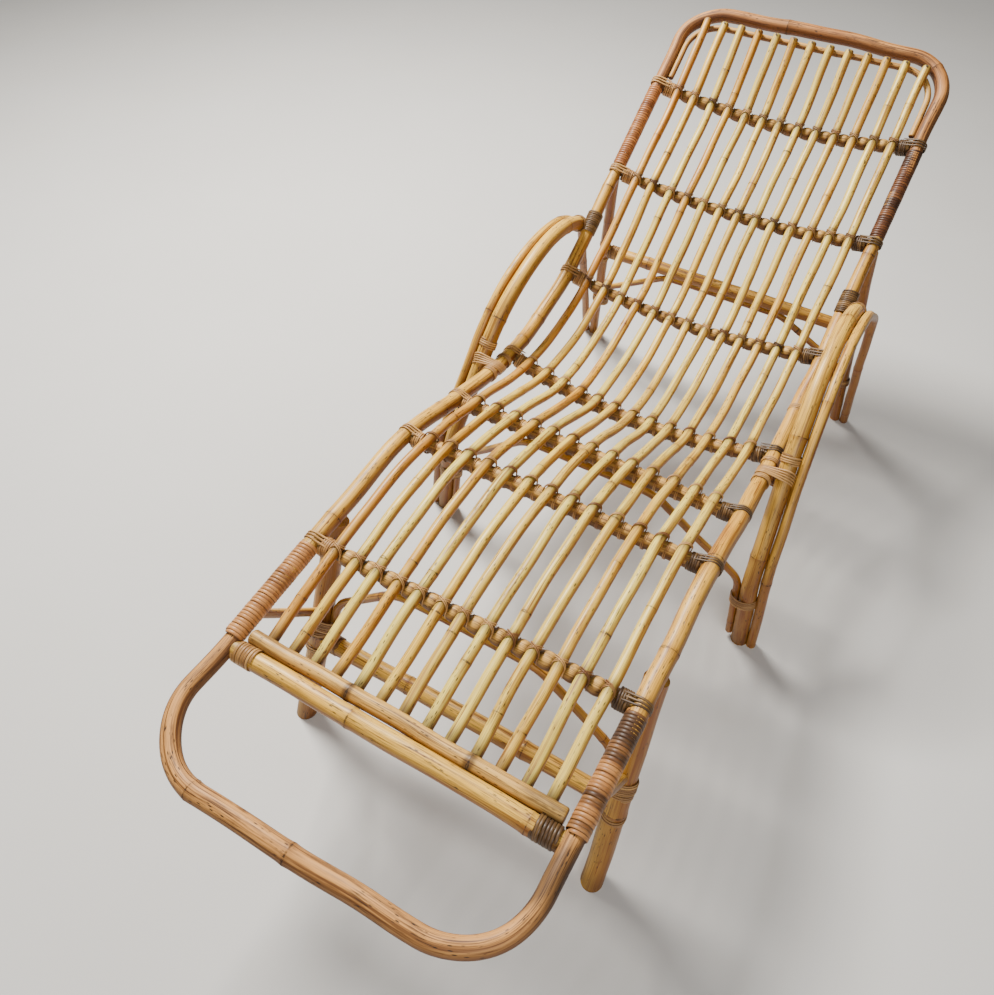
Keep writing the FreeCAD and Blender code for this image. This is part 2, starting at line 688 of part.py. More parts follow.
def arch(name, legs, leg_diameter, height, end_run, flat, top):
    """An arch between two legs; top is the middle of its flat run."""
    beside = radius(leg_diameter) + radius("arch_diameter") + size("clearance")
    sides = []
    for hand, side in SIDES:
        low = on_leg(legs[hand], size(height), beside, side)
        high = on_leg(legs[hand], size(height) + size(end_run), beside, side)
        sides.append([low, high, top + Vector(side * size(flat) / 2, 0, 0)])
    corners = sides[0] + sides[1][::-1]
    keep(name, bent_cane(name, rounded(corners, [size("arch_bend_radius")] * 4), half("arch_diameter")))


seat_axis = rung_point("seat_rung_at", None, 0)
arch("mid_arch_brace", arm_legs, "arm_diameter", "mid_arch_height", "mid_arch_end_run", "mid_arch_flat",
     under(seat_axis, "rung_diameter", lashing_depth))
calf_axis = rung_point("calf_rung_at", None, 0)
arch("front_arch_brace", front_legs, "front_leg_diameter", "front_arch_height", "arch_end_run",
     "front_arch_flat", under(calf_axis, "rung_diameter", lashing_depth))
back_bar_axis = on_leg(back_legs["left"], size("back_bar_height"))
arch("back_arch_brace", back_legs, "back_leg_diameter", "back_arch_height", "arch_end_run",
     "back_arch_flat", under(back_bar_axis, "back_bar_diameter"))

# Windings of peel: each is one unbroken strand, open at both ends

gaps = {}
GAP_STEPS = 24
LEAST_GAP = 0.4


def least_gap(points, steps, strand):
    """Least gap between turns of a strand, measured on points of its line."""
    nearest = min((points[i] - points[j]).Length for i in range(len(points))
                  for j in range(i + steps // 2, min(i + 3 * steps // 2, len(points))))
    return nearest - strand


def strand_along(curve, quarters, strand):
    """Tube on biarcs of a quarter turn along a curve, with a straight run at both ends."""
    turns = [quarter * math.pi / 2 for quarter in range(quarters + 1)]
    points = [curve(turn) for turn in turns]
    runs = [(curve(turn + NUDGE) - curve(turn - NUDGE)).normalize() for turn in turns]
    edges = [line(points[0] - runs[0] * strand, points[0])]
    edges += biarcs(points, runs)
    edges.append(line(points[-1], points[-1] + runs[-1] * strand))
    wire = Part.Wire(edges)
    circle = Part.Circle(points[0] - runs[0] * strand, runs[0], strand / 2).toShape()
    return wire.makePipeShell([Part.Wire([circle])], True, False)


def note_gap(name, curve, quarters, strand):
    count = quarters * GAP_STEPS // 4
    points = [curve(2 * math.pi * index / GAP_STEPS) for index in range(count + 1)]
    gap = least_gap(points, GAP_STEPS, strand)
    gaps[name] = min(gap, gaps.get(name, gap))


def winding(name, middle, axis, side, long_half, short_half, turns, pitch, strand):
    """A strand wound round an ellipse whose long half axis points to a side."""
    axis = axis.normalize()
    side = (side - axis * axis.dot(side)).normalize()
    up = axis.cross(side)
    start = middle - axis * (turns * pitch / 2)

    def curve(turn):
        level = side * (long_half * math.cos(turn)) + up * (short_half * math.sin(turn))
        return start + axis * (pitch * turn / (2 * math.pi)) + level

    note_gap(name, curve, 4 * turns, strand)
    return strand_along(curve, 4 * turns, strand)


def round_winding(name, middle, axis, pole_radius, turns, pitch, strand):
    reach = pole_radius + size("clearance") + strand / 2
    side = Vector(axis.y, -axis.x, axis.z + 1)
    return winding(name, middle, axis, side, reach, reach, turns, pitch, strand)


def ring_round(poles, room, slack):
    """Middle and half axes of an ellipse round sections, each with its place, half width and half height."""
    least = min(place - half_across for place, half_across, half_up in poles)
    most = max(place + half_across for place, half_across, half_up in poles)
    middle = (least + most) / 2
    long_half = (most - least) / 2 + room + slack
    short_half = 0.0
    for place, half_across, half_up in poles:
        for degree in range(1, 180):
            turn = math.radians(degree)
            out = (place - middle + (half_across + room) * math.cos(turn)) / long_half
            if abs(out) < 1:
                rise = (half_up + room) * math.sin(turn)
                short_half = max(short_half, rise / math.sqrt(1 - out ** 2))
    return middle, long_half, short_half


wrap_strand = size("wrap_strand")
for end_name, first, last in (
        ("head", size("head_rung_at") + size("wrap_margin"), size("upper_rung_at") - size("wrap_margin")),
        ("foot", size("calf_rung_at") + size("wrap_margin"), size("crossbar_at") - size("wrap_margin"))):
    for hand, side in SIDES:
        name = "%s_%s_wrap" % (hand, end_name)
        middle = station((first + last) / 2, 0, side * half_width)
        wrap = round_winding(name, middle, run_at((first + last) / 2), radius("rail_diameter"), WRAP_TURNS,
                             (last - first - 2 * wrap_strand) / WRAP_TURNS, wrap_strand)
        keep(name, group(name, [wrap]))

strand = size("binding_strand")
pitch = size("binding_pitch")
rung_bindings = []
for name, place, dish, notch in RUNGS:
    for hand, side in SIDES:
        from_rail = radius("rail_diameter") + strand + (RUNG_BINDING_TURNS * pitch + strand) / 2
        across = side * (half_width - from_rail)
        rung_bindings.append(round_winding("rung_end_bindings", rung_point(place, dish, across),
                                           rung_run_at(place, dish, across), radius("rung_diameter"),
                                           RUNG_BINDING_TURNS, pitch, strand))
keep("rung_end_bindings", group("rung_end_bindings", rung_bindings))


def bar_bindings(name, ends, clear_of, bar_radius):
    """Windings round both ends of a bar, just clear of what it meets."""
    left_end, right_end = ends
    axis = (right_end - left_end).normalize()
    inset = clear_of + size("clearance") + (BAR_BINDING_TURNS * pitch + strand) / 2 + strand
    middles = [left_end + axis * inset, right_end - axis * inset]
    return [round_winding(name, middle, axis, bar_radius, BAR_BINDING_TURNS, pitch, strand)
            for middle in middles]


crossbar_ends = [station(size("crossbar_at"), -size("crossbar_drop"), side * half_width)
                 for hand, side in SIDES]
wrapped_radius = radius("rail_diameter") + size("wrap_strand")
crossbar_windings = bar_bindings("crossbar_end_bindings", crossbar_ends, wrapped_radius,
                                 radius("crossbar_diameter"))
keep("crossbar_end_bindings", group("crossbar_end_bindings", crossbar_windings))
bar_windings = bar_bindings("leg_bar_bindings", bar_ends(back_legs, "back_bar_height"),
                            radius("back_leg_diameter") + strand, radius("back_bar_diameter"))
bar_windings += bar_bindings("leg_bar_bindings", bar_ends(front_legs, "stretcher_height"),
                             radius("front_leg_diameter") + strand, radius("stretcher_diameter"))
keep("leg_bar_bindings", group("leg_bar_bindings", bar_windings))

binding_room = strand / 2 + size("clearance")
arch_windings = []
for legs, height, leg_diameter in ((arm_legs, "mid_arch_binding", "arm_diameter"),
                                   (front_legs, "front_arch_binding", "front_leg_diameter"),
                                   (back_legs, "back_arch_binding", "back_leg_diameter")):
    leg_radius = radius(leg_diameter)
    arch_radius = radius("arch_diameter")
    beside = leg_radius + size("clearance") + arch_radius
    sections = [(0, leg_radius, leg_radius), (beside, arch_radius, arch_radius)]
    inward, long_half, short_half = ring_round(sections, binding_room, size("binding_slack"))
    for hand, side in SIDES:
        foot, top = legs[hand]
        middle = on_leg(legs[hand], size(height), inward, side)
        arch_windings.append(winding("arch_bindings", middle, top - foot, Vector(side, 0, 0),
                                     long_half, short_half, ARCH_BINDING_TURNS, pitch, strand))
keep("arch_bindings", group("arch_bindings", arch_windings))

# Bindings of the arms: one round the arm and the rail where they cross, one round the rail at the arm's tail


def arm_over_rail(distance):
    """Height of the rising arm over the rail, at a place down the frame."""
    rail = station(distance)
    rise = size("arm_knuckle_height") + shin * (rail.y - seat_rung_y - size("arm_knuckle_back"))
    return rise - rail.z


low, high = size("lumbar_rung_at"), size("seat_rung_at")
while high - low > NUDGE:
    middle = (low + high) / 2
    if arm_over_rail(middle) > 0:
        low = middle
    else:
        high = middle
crossing_at = low
rail_run = run_at(crossing_at) * -1
arm_run = heading(size("arm_shin_angle"))
between = arm_run.getAngle(rail_run) / 2
half_band = ARM_BINDING_TURNS * pitch / 2 + strand
half_up = radius("rail_diameter") / math.cos(between) + half_band * math.tan(between) + size("binding_slack")
crossing = station(crossing_at)
outward = size("arm_foot_spread") / 2 - crossing.z * lean - half_width
sections = [(0, radius("rail_diameter"), half_up), (outward, radius("arm_diameter"), half_up)]
outside, long_half, short_half = ring_round(sections, binding_room, size("binding_slack"))
arm_windings = []
for hand, side in SIDES:
    middle = crossing + Vector(side * (half_width + outside), 0, 0)
    arm_windings.append(winding("arm_bindings", middle, rail_run + arm_run, Vector(side, 0, 0),
                                long_half, short_half, ARM_BINDING_TURNS, pitch, strand))
    middle = station(size("arm_tail_binding_at"), 0, side * half_width)
    arm_windings.append(round_winding("arm_bindings", middle, run_at(size("arm_tail_binding_at")),
                                      radius("rail_diameter"), ARM_BINDING_TURNS, pitch, strand))
middle = station(size("rail_band_at"), 0, half_width)
arm_windings.append(round_winding("arm_bindings", middle, run_at(size("rail_band_at")),
                                  radius("rail_diameter"), RAIL_BAND_TURNS, pitch, strand))
keep("arm_bindings", group("arm_bindings", arm_windings))

# Lashings: each crosses a slat twice, passes under the rung and ends where it began

def lashing(name, rung_axis, rung_run, slat_axis, slat_run):
    """Two crossing turns round a rung and the slat that lies on it."""
    up = (slat_axis - rung_axis).normalize()
    on = (slat_run - up * up.dot(slat_run)).normalize()
    across = up.cross(on)
    over = (slat_axis - rung_axis).Length
    below = radius("rung_diameter") / math.sin(up.getAngle(rung_run))
    above = radius("slat_diameter") / math.sin(up.getAngle(slat_run))
    height = (below + above + over) / 2
    middle = rung_axis + up * (height - below)
    splay = math.radians(size("lashing_splay"))
    width = radius("rung_diameter") + radius("slat_diameter") / 2

    def curve(turn):
        phase = turn - math.pi
        grown = lashing_room + lashing_step * turn / (2 * math.pi)
        slant = splay * math.cos(phase / 2)
        level = on * math.cos(slant) + across * math.sin(slant)
        raised = up * ((height + grown) * math.cos(phase))
        return middle + raised + level * ((width + grown) * math.sin(phase))

    note_gap(name, curve, 4 * LASHING_TURNS, size("lashing_strand"))
    return strand_along(curve, 4 * LASHING_TURNS, size("lashing_strand"))


for crossing, (name, place, dish, notch) in enumerate(RUNGS, start=1):
    lashings = []
    for across, points, runs in zip(slat_places, slat_points, slat_runs):
        rung_axis = rung_point(place, dish, across)
        rung_run = rung_run_at(place, dish, across)
        lashings.append(lashing(name + "_lashings", rung_axis, rung_run, points[crossing], runs[crossing]))
    keep(name + "_lashings", group(name + "_lashings", lashings))

doc.recompute()
faults = [item.Name for item in doc.Objects if "Invalid" in item.State or "Error" in item.State]
faults += [name for name, piece in nodes.items() if piece.Shape.isNull() or not piece.Shape.isValid()]
faults += [name for name, gap in gaps.items() if gap <= LEAST_GAP]
if faults:
    raise RuntimeError("faulty: " + ", ".join(faults))
os.makedirs("parts", exist_ok=True)
for name, piece in nodes.items():
    piece.Shape.exportStep("parts/%s.step" % name)
    print(name, "solids", len(piece.Shape.Solids))
print("least gaps in mm", {name: round(gap, 2) for name, gap in gaps.items()})
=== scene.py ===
"""Rattan chaise longue: jointed canes, wound peel and lashings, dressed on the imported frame."""
from collections import namedtuple
import math
import bpy
import numpy as np
from mathutils import Matrix


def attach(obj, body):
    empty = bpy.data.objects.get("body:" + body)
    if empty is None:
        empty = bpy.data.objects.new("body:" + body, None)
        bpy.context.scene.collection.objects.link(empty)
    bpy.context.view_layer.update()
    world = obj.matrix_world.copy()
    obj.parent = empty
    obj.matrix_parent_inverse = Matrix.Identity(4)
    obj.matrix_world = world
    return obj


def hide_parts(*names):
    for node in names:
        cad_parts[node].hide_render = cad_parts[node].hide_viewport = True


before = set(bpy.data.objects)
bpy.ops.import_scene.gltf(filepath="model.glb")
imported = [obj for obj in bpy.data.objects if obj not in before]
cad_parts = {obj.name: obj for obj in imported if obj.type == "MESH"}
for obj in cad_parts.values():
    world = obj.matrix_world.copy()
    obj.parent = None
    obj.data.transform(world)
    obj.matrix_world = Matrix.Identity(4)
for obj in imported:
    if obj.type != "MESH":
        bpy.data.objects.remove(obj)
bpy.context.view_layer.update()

SIDES = (("left", -1), ("right", 1))
MM = 0.001

# Sizes in metres and degrees, most of them as in the part's own sheet

HALF_WIDTH = 0.246
RAIL_R, HEAD_HOOP_R, FOOT_HOOP_R, LINER_R = 0.013, 0.012, 0.0125, 0.0055
CROSSBAR_R, END_RAIL_R, RUNG_R, SLAT_R = 0.0135, 0.011, 0.012, 0.00775
ARM_R, RIDER_R, BACK_LEG_R, BACK_BAR_R = 0.0140, 0.0085, 0.010, 0.013
FRONT_LEG_R, STRETCHER_R, ARCH_R, BRACE_R = 0.017, 0.014, 0.0065, 0.007
BACK_ANGLE, SEAT_ANGLE, LEG_ANGLE = 33.3, 14.5, 4.7
KNEE_HEIGHT, BACK_RUN, SEAT_RUN, LEG_RUN = 0.395, 0.730, 0.452, 0.552
FRAME_BENDS = (0.460, 0.200)
RUNG_DROP, CROSSBAR_DROP, COPE_INSET = 0.005, 0.006, 0.010
LINER_INSET, SLAT_OVERHANG, LINER_NOTCH = 0.031, 0.003, 0.0015
CROSSBAR_AT, END_RAIL_GAP, END_RAIL_DROP = 1.549, 0.0004, -0.0040
SLAT_COUNT, SLAT_PITCH = 13, 0.034
HEAD_CORNER, HEAD_CROWN, FOOT_CORNER, FOOT_CROWN, FOOT_SKEW = 0.075, 0.007, 0.100, 0.004, 0.006
LINER_CORNER = 0.058
ARM_SPREAD, ARM_LEAN = 0.622, 6.0
ARM_FOOT_BACK, KNUCKLE_BACK, KNUCKLE_HEIGHT, KNUCKLE_BEND = 0.044, 0.040, 0.185, 0.160
SHIN_ANGLE, TAIL_ANGLE, TAIL_AT, TAIL_PAST, TAIL_RUN = 57.0, 35.0, 0.486, 0.016, 0.013
RIDER_GAP, RIDER_SHOULDER_BACK, SHOULDER_BEND = 0.0002, 0.555, 0.070
BACK_LEG_INSET, BACK_RAKE, BACK_SPREAD, BACK_BAR_HEIGHT = -0.004, 0.110, 0.600, 0.274
FRONT_LEG_AT, FRONT_LEG_DROP, FRONT_REACH, FRONT_SPREAD = 1.315, 0.006, 0.142, 0.530
STRETCHER_HEIGHT, BRACE_HEIGHT, BRACE_AT, LEG_COPE = 0.158, 0.205, 1.500, 0.006
ARCH_BEND, ARCH_ROOM = 0.055, 0.0075
TAIL_BINDING_AT, RAIL_BAND_AT, WRAP_MARGIN = 0.478, 0.700, 0.011
SINK = 0.012
FIT_GAP = 0.0003
SLAT_STRAY, SLAT_END_REACH = 0.0012, 0.0065
NOTCH_SHOWN, NOTCH_REACH = 0.6, 0.0095
END_RAIL_INSET, LINER_STOP = 0.019, 0.004
BACK_LEG_TOP_DROP, FRONT_LEG_SHORT, BRACE_COPE = 0.014, 0.02, 0.012

# Rungs: place down the frame, hollow, notch, radius of a bead,
# and how deep the beads are parted at the slats

Rung = namedtuple("Rung", "name place dish notch girth parting")
RUNGS = tuple(Rung(*row) for row in (
    ("head", 0.170, 0.038, 0.0050, 0.0120, 0.32),
    ("upper_back", 0.362, 0.038, 0.0050, 0.0118, 0.32),
    ("lower_back", 0.584, 0.048, 0.0050, 0.0122, 0.32),
    ("lumbar", 0.808, 0.040, 0.0025, 0.0120, 0.03),
    ("seat", 0.995, 0.0, 0.0025, 0.0120, 0.03),
    ("knee", 1.138, 0.0, 0.0025, 0.0120, 0.03),
    ("calf", 1.368, 0.0, 0.0050, 0.0132, 0.32),
))
rung_named = {rung.name: rung for rung in RUNGS}
BEADED_FROM = 0.1


def is_beaded(rung):
    return rung.parting > BEADED_FROM


# Paths: arrays of points in metres

def unit(vector):
    return vector / np.linalg.norm(vector)


def point(x, y, z):
    return np.array((x, y, z), float)


def across(x):
    return point(x, 0, 0)


ARC_STEP, LEAST_ARC_POINTS = math.radians(2), 4
NEAR = 1e-4


def rounded(corners, bends):
    """Points along corners, each inner corner rounded with its bend."""
    points = [corners[0]]
    for before, corner, after, bend in zip(corners, corners[1:], corners[2:], bends):
        back, on = unit(before - corner), unit(after - corner)
        half = math.acos(np.clip(back @ on, -1, 1)) / 2
        middle = corner + unit(back + on) * (bend / math.sin(half))
        first = corner + back * (bend / math.tan(half))
        sweep = math.pi - 2 * half
        for turn in np.linspace(0, sweep, max(LEAST_ARC_POINTS, int(sweep / ARC_STEP))):
            points.append(middle + (first - middle) * math.cos(turn) - back * (bend * math.sin(turn)))
    points.append(corners[-1])
    return np.array(points)


def travel(path):
    return np.concatenate(([0], np.cumsum(np.linalg.norm(np.diff(path, axis=0), axis=1))))


def at(path, distances):
    """Points at distances along a path."""
    run = travel(path)
    return np.stack([np.interp(distances, run, path[:, axis]) for axis in range(3)], axis=-1)


def runs_of(path):
    """Unit directions along a path, at its points."""
    change = np.gradient(path, axis=0)
    return change / np.linalg.norm(change, axis=1, keepdims=True)


def heading(angle):
    return point(0, math.cos(math.radians(angle)), math.sin(math.radians(angle)))


def slope(angle):
    return math.tan(math.radians(angle))


knee_corner = point(0, 0, KNEE_HEIGHT)
lumbar_corner = knee_corner + heading(-SEAT_ANGLE) * SEAT_RUN
head_top = lumbar_corner + heading(BACK_ANGLE) * BACK_RUN
foot_front = knee_corner - heading(LEG_ANGLE) * LEG_RUN
shift = point(0, (head_top[1] + HEAD_HOOP_R + foot_front[1] - FOOT_HOOP_R) / 2, 0)
frame_corners = [corner - shift for corner in (head_top, lumbar_corner, knee_corner, foot_front)]
frame_line = rounded(frame_corners, FRAME_BENDS)
frame_length = travel(frame_line)[-1]


def run_at(distance):
    near = at(frame_line, np.array((max(distance - NEAR, 0), min(distance + NEAR, frame_length))))
    return unit(near[1] - near[0])


def lift_at(distance):
    run = run_at(distance)
    return point(0, run[2], -run[1])


def station(distance, lift=0.0, side=0.0):
    """Point at a distance down the frame, lifted off the rail's axis towards the sitter."""
    return at(frame_line, distance) + lift_at(distance) * lift + across(side)


head_at, upper_back_at, seat_at, calf_at = (
    rung_named[name].place for name in ("head", "upper_back", "seat", "calf"))
seat_y = station(seat_at)[1]
head_scarf = (head_at + upper_back_at) / 2
foot_scarf = (calf_at + CROSSBAR_AT) / 2
end_rail_at = CROSSBAR_AT - (CROSSBAR_R + END_RAIL_GAP + END_RAIL_R)


def dish_at(depth, x):
    """Depth of a hollow rung at a distance from the middle."""
    if not depth:
        return 0.0
    bend = (HALF_WIDTH ** 2 + depth ** 2) / (2 * depth)
    return math.sqrt(bend ** 2 - x ** 2) - (bend - depth)


def rung_point(rung, x):
    """Point of a rung's axis at a distance from the middle."""
    return station(rung.place, -RUNG_DROP - dish_at(rung.dish, x), x)


def smooth_path(points, steps):
    """A smooth path through points, each direction along the circle through its neighbours."""
    points = np.array(points)
    chords = np.diff(points, axis=0)
    lengths = np.linalg.norm(chords, axis=1)
    chords = chords / lengths[:, None]
    ways = [chords[0]]
    for index in range(1, len(points) - 1):
        ways.append(unit(chords[index - 1] * lengths[index] + chords[index] * lengths[index - 1]))
    ways.append(chords[-1])
    path = []
    share = np.linspace(0, 1, steps, endpoint=False)[:, None]
    for start, end, leave, reach, length in zip(points, points[1:], ways, ways[1:], lengths):
        path.append(start * (2 * share ** 3 - 3 * share ** 2 + 1)
                    + leave * length * (share ** 3 - 2 * share ** 2 + share)
                    + end * (3 * share ** 2 - 2 * share ** 3) + reach * length * (share ** 3 - share ** 2))
    path.append(points[-1:])
    return np.concatenate(path)


# Node trees: one way to make nodes, and values that can be added and multiplied

MIX_SHARE, MIX_FIRST, MIX_SECOND, MIX_RESULT = 0, 6, 7, 2


class Value:
    """A socket of a node tree that takes part in sums."""

    def __init__(self, graph, socket):
        self.graph = graph
        self.socket = socket

    def maths(self, operation, *others):
        return self.graph.node("ShaderNodeMath", {"operation": operation}, [self, *others])

    def __add__(self, other):
        return self.maths("ADD", other)

    def __sub__(self, other):
        return self.maths("SUBTRACT", other)

    def __mul__(self, other):
        return self.maths("MULTIPLY", other)

    def __truediv__(self, other):
        return self.maths("DIVIDE", other)

    def __pow__(self, other):
        return self.maths("POWER", other)

    def __abs__(self):
        return self.maths("ABSOLUTE")

    def __neg__(self):
        return self * -1

    def __rsub__(self, other):
        return -self + other

    def __rtruediv__(self, other):
        return self ** -1 * other

    __radd__ = __add__
    __rmul__ = __mul__

    def over(self, other):
        return self.maths("MAXIMUM", other)

    def rise(self, low, high):
        """0 below low, 1 over high, eased between them."""
        return self.graph.node("ShaderNodeMapRange", {"interpolation_type": "SMOOTHSTEP"}, {
            "Value": self, "From Min": low, "From Max": high, "To Min": 0.0, "To Max": 1.0})

    def fall(self, low, high):
        return 1 - self.rise(low, high)


class Graph:
    """A node tree under construction."""

    def __init__(self, tree):
        self.tree = tree
        tree.nodes.clear()

    def node(self, kind, settings=None, inputs=None, output=0):
        """Add a node, set its properties, feed its inputs, and give one output."""
        made = self.tree.nodes.new(kind)
        for name, setting in (settings or {}).items():
            setattr(made, name, setting)
        pairs = enumerate(inputs) if isinstance(inputs, list) else (inputs or {}).items()
        for key, given in pairs:
            if isinstance(given, Value):
                self.tree.links.new(given.socket, made.inputs[key])
            else:
                made.inputs[key].default_value = given
        return Value(self, made.outputs[output]) if made.outputs else made

    def stretch(self, vector, scale):
        return self.node("ShaderNodeVectorMath", {"operation": "MULTIPLY"}, [vector, scale])

    def noise(self, vector, scale, detail=3.0, rough=0.55):
        """Noise from 0 to 1 on a vector that is scaled along each axis."""
        return self.node("ShaderNodeTexNoise", {"noise_dimensions": "3D"}, {
            "Vector": self.stretch(vector, scale), "Scale": 1.0, "Detail": detail, "Roughness": rough})

    def cells(self, vector, scale):
        """Distance to the nearest scattered point."""
        return self.node("ShaderNodeTexVoronoi", {"feature": "F1"}, {
            "Vector": self.stretch(vector, scale), "Scale": 1.0})

    def attribute(self, name, output="Fac"):
        return self.node("ShaderNodeAttribute", {"attribute_name": name}, None, output)

    def mix(self, share, first, second):
        """A colour that goes from the first to the second as the share rises."""
        first, second = (given if isinstance(given, Value) else (*given, 1) for given in (first, second))
        return self.node("ShaderNodeMix", {"data_type": "RGBA"}, {
            MIX_SHARE: share, MIX_FIRST: first, MIX_SECOND: second}, MIX_RESULT)

    def bump(self, height, strength, depth):
        return self.node("ShaderNodeBump", None, {"Strength": strength, "Distance": depth, "Height": height})


def tone(red, green, blue):
    """A colour as seen on a screen, made linear."""
    return tuple(((c / 255 + 0.055) / 1.055) ** 2.4 if c > 10 else c / 3294.6 for c in (red, green, blue))


def new_material(name):
    material = bpy.data.materials.new(name)
    material.use_nodes = True
    return material, Graph(material.node_tree)


def finish_material(graph, colour, roughness, normal, coat, coat_roughness=0.3):
    """End a material in one shader under a thin coat of varnish."""
    shader = graph.node("ShaderNodeBsdfPrincipled", None, {
        "Base Color": colour, "Roughness": roughness, "Normal": normal,
        "Coat Weight": coat, "Coat Roughness": coat_roughness, "Specular IOR Level": 0.4})
    graph.node("ShaderNodeOutputMaterial", None, {"Surface": shader})


RED_BLUSH, GREEN_BLUSH = tone(190, 98, 46), tone(190, 176, 92)


def cane_material(name, pale, honey, brown, dark, streaks, specks, grain, sheen):
    """Varnished cane: drifts of colour, fibres, streaks, specks, node rings, painted shade on undersides,
    grime with painted shade where canes meet, and cut ends.
    """
    material, graph = new_material(name)
    cane = graph.attribute("cane", "Vector")
    knot, grime, cut, tint, age, blush, top = (
        graph.attribute(label) for label in ("knot", "grime", "end", "tint", "age", "blush", "top"))

    # Drifts of colour, with a lean to red or to green
    drift = graph.noise(cane, (16, 16, 5), 2.0)
    patch = graph.noise(cane, (55, 55, 17), 4.0, 0.6)
    colour = graph.mix((drift * 0.9 + patch * 0.6 + tint - 0.75).rise(0.0, 0.7), pale, honey)
    colour = graph.mix(blush.over(0.0) * (drift * 0.8 + 0.4), colour, RED_BLUSH)
    colour = graph.mix((-blush).over(0.0) * (patch * 0.8 + 0.3), colour, GREEN_BLUSH)

    # Broad and fine streaks, fibres and open grain
    broad = graph.noise(cane, (150, 150, 3.6), 3.0)
    streak = graph.noise(cane, (330, 330, 6.5), 3.0, 0.6)
    fibre = graph.noise(cane, (1100, 1100, 22), 3.0, 0.6)
    lines = graph.noise(cane, (560, 560, 8), 4.0, 0.7)
    colour = graph.mix(broad.rise(0.53, 0.66) * streaks * 0.8, colour, brown)
    colour = graph.mix(streak.rise(0.54, 0.65) * patch.rise(0.36, 0.60) * streaks, colour, brown)
    colour = graph.mix(fibre.rise(0.50, 0.66) * 0.4, colour, brown)
    colour = graph.mix(lines.rise(0.49, 0.60) * grain, colour, brown)
    colour = graph.mix(lines.rise(0.58, 0.66) * grain * 0.8, colour, dark)

    # Painted shade: browner undersides and sides turned away from the painted light side; then wear
    colour = graph.mix((top + patch * 0.5 - 0.25).fall(-0.1, 0.85) * 0.85, colour, brown)
    # Darkening from age: wear, with the painted light and painted shade that some stain marks add
    wear_and_painted_light = (age * 1.5 + patch - 0.9).rise(0.0, 0.8)
    colour = graph.mix(wear_and_painted_light * 0.72, colour, dark)

    # Specks and scratches, in patches
    speckled = graph.noise(cane, (70, 70, 24), 2.0).rise(0.46, 0.56)
    dash = graph.cells(cane, (330, 330, 75)).fall(0.12, 0.28) * speckled
    colour = graph.mix(dash * specks, colour, dark)
    scratched = graph.noise(cane, (40, 40, 12), 2.0).rise(0.46, 0.56)
    scratch = graph.noise(cane, (700, 700, 30), 2.0).rise(0.60, 0.67) * scratched
    colour = graph.mix(scratch * specks * 0.8, colour, dark)

    # Node rings, a little tilted and broken
    tilt = graph.noise(cane, (90, 90, 3), 1.0) * 0.006 - 0.003
    ring_place = abs(knot + tilt)
    broken = graph.noise(cane, (260, 260, 12), 2.0).rise(0.34, 0.58)
    ring = ring_place.fall(0.0003, 0.0014) * (broken * 0.8 + 0.2)
    collar = ring_place.fall(0.001, 0.008) * patch.rise(0.35, 0.65)
    halo = ring_place.fall(0.004, 0.026)
    colour = graph.mix(halo * 0.16, colour, brown)
    colour = graph.mix(collar * 0.35, colour, brown)
    colour = graph.mix(ring * 0.8, colour, dark)

    # Grime and painted shade where canes meet and under the ties, and the pores of cut ends
    colour = graph.mix(grime.rise(0.05, 1.0) * (patch * 0.8 + 0.35), colour, dark)
    pores = graph.cells(cane, (1300, 1300, 0.01)).fall(0.15, 0.5)
    colour = graph.mix(cut.rise(0.4, 0.9), colour, graph.mix(pores * 0.55, brown, dark))

    roughness = fibre * 0.16 + patch * 0.18 + grime * 0.25 + ring * 0.2 + (0.62 - sheen)
    height = fibre * 0.35 + streak * 0.5 + patch * 0.5 - lines * grain - ring * 1.4 - dash * 0.7
    finish_material(graph, colour, roughness, graph.bump(height, 0.55, 0.0006), 0.04 + sheen * 0.3, 0.32)
    return material


def peel_material(name, pale, mid, dark, sheen):
    """Split peel: fine ribs along the strand, drifts of colour from turn to turn and dark edges."""
    material, graph = new_material(name)
    peel = graph.attribute("peel", "Vector")
    tint, age = graph.attribute("tint"), graph.attribute("age")
    drift = graph.noise(peel, (0.4, 0.4, 14), 3.0)
    long_drift = graph.noise(peel, (0.2, 0.2, 2.6), 2.0)
    ribs = graph.noise(peel, (5.5, 5.5, 30), 3.0, 0.65)
    spots = graph.noise(peel, (2.2, 2.2, 240), 3.0)
    colour = graph.mix((drift * 1.2 + long_drift * 0.8 + tint - 0.7).rise(0.0, 0.6), pale, mid)
    colour = graph.mix(ribs.rise(0.48, 0.75) * 0.5, colour, dark)
    colour = graph.mix(spots.rise(0.58, 0.72) * 0.45, colour, dark)
    # Darkening from age: wear, and on the right head wrap partly painted shade
    wear_and_painted_light = (age * 1.35 + long_drift * 0.7 + drift * 0.5 - 0.75).rise(0.0, 0.75)
    colour = graph.mix(wear_and_painted_light * 0.85, colour, dark)
    span = graph.node("ShaderNodeSeparateXYZ", None, [peel], 1)
    colour = graph.mix(abs(span).rise(0.62, 1.0) * 0.55, colour, dark)
    roughness = ribs * 0.2 + drift * 0.12 + (0.6 - sheen)
    finish_material(graph, colour, roughness, graph.bump(ribs + spots * 0.5, 0.5, 0.0004), 0.1 + sheen * 0.3)
    return material


# Geometry trees: a cane and a strand of peel, both grown along lines of points

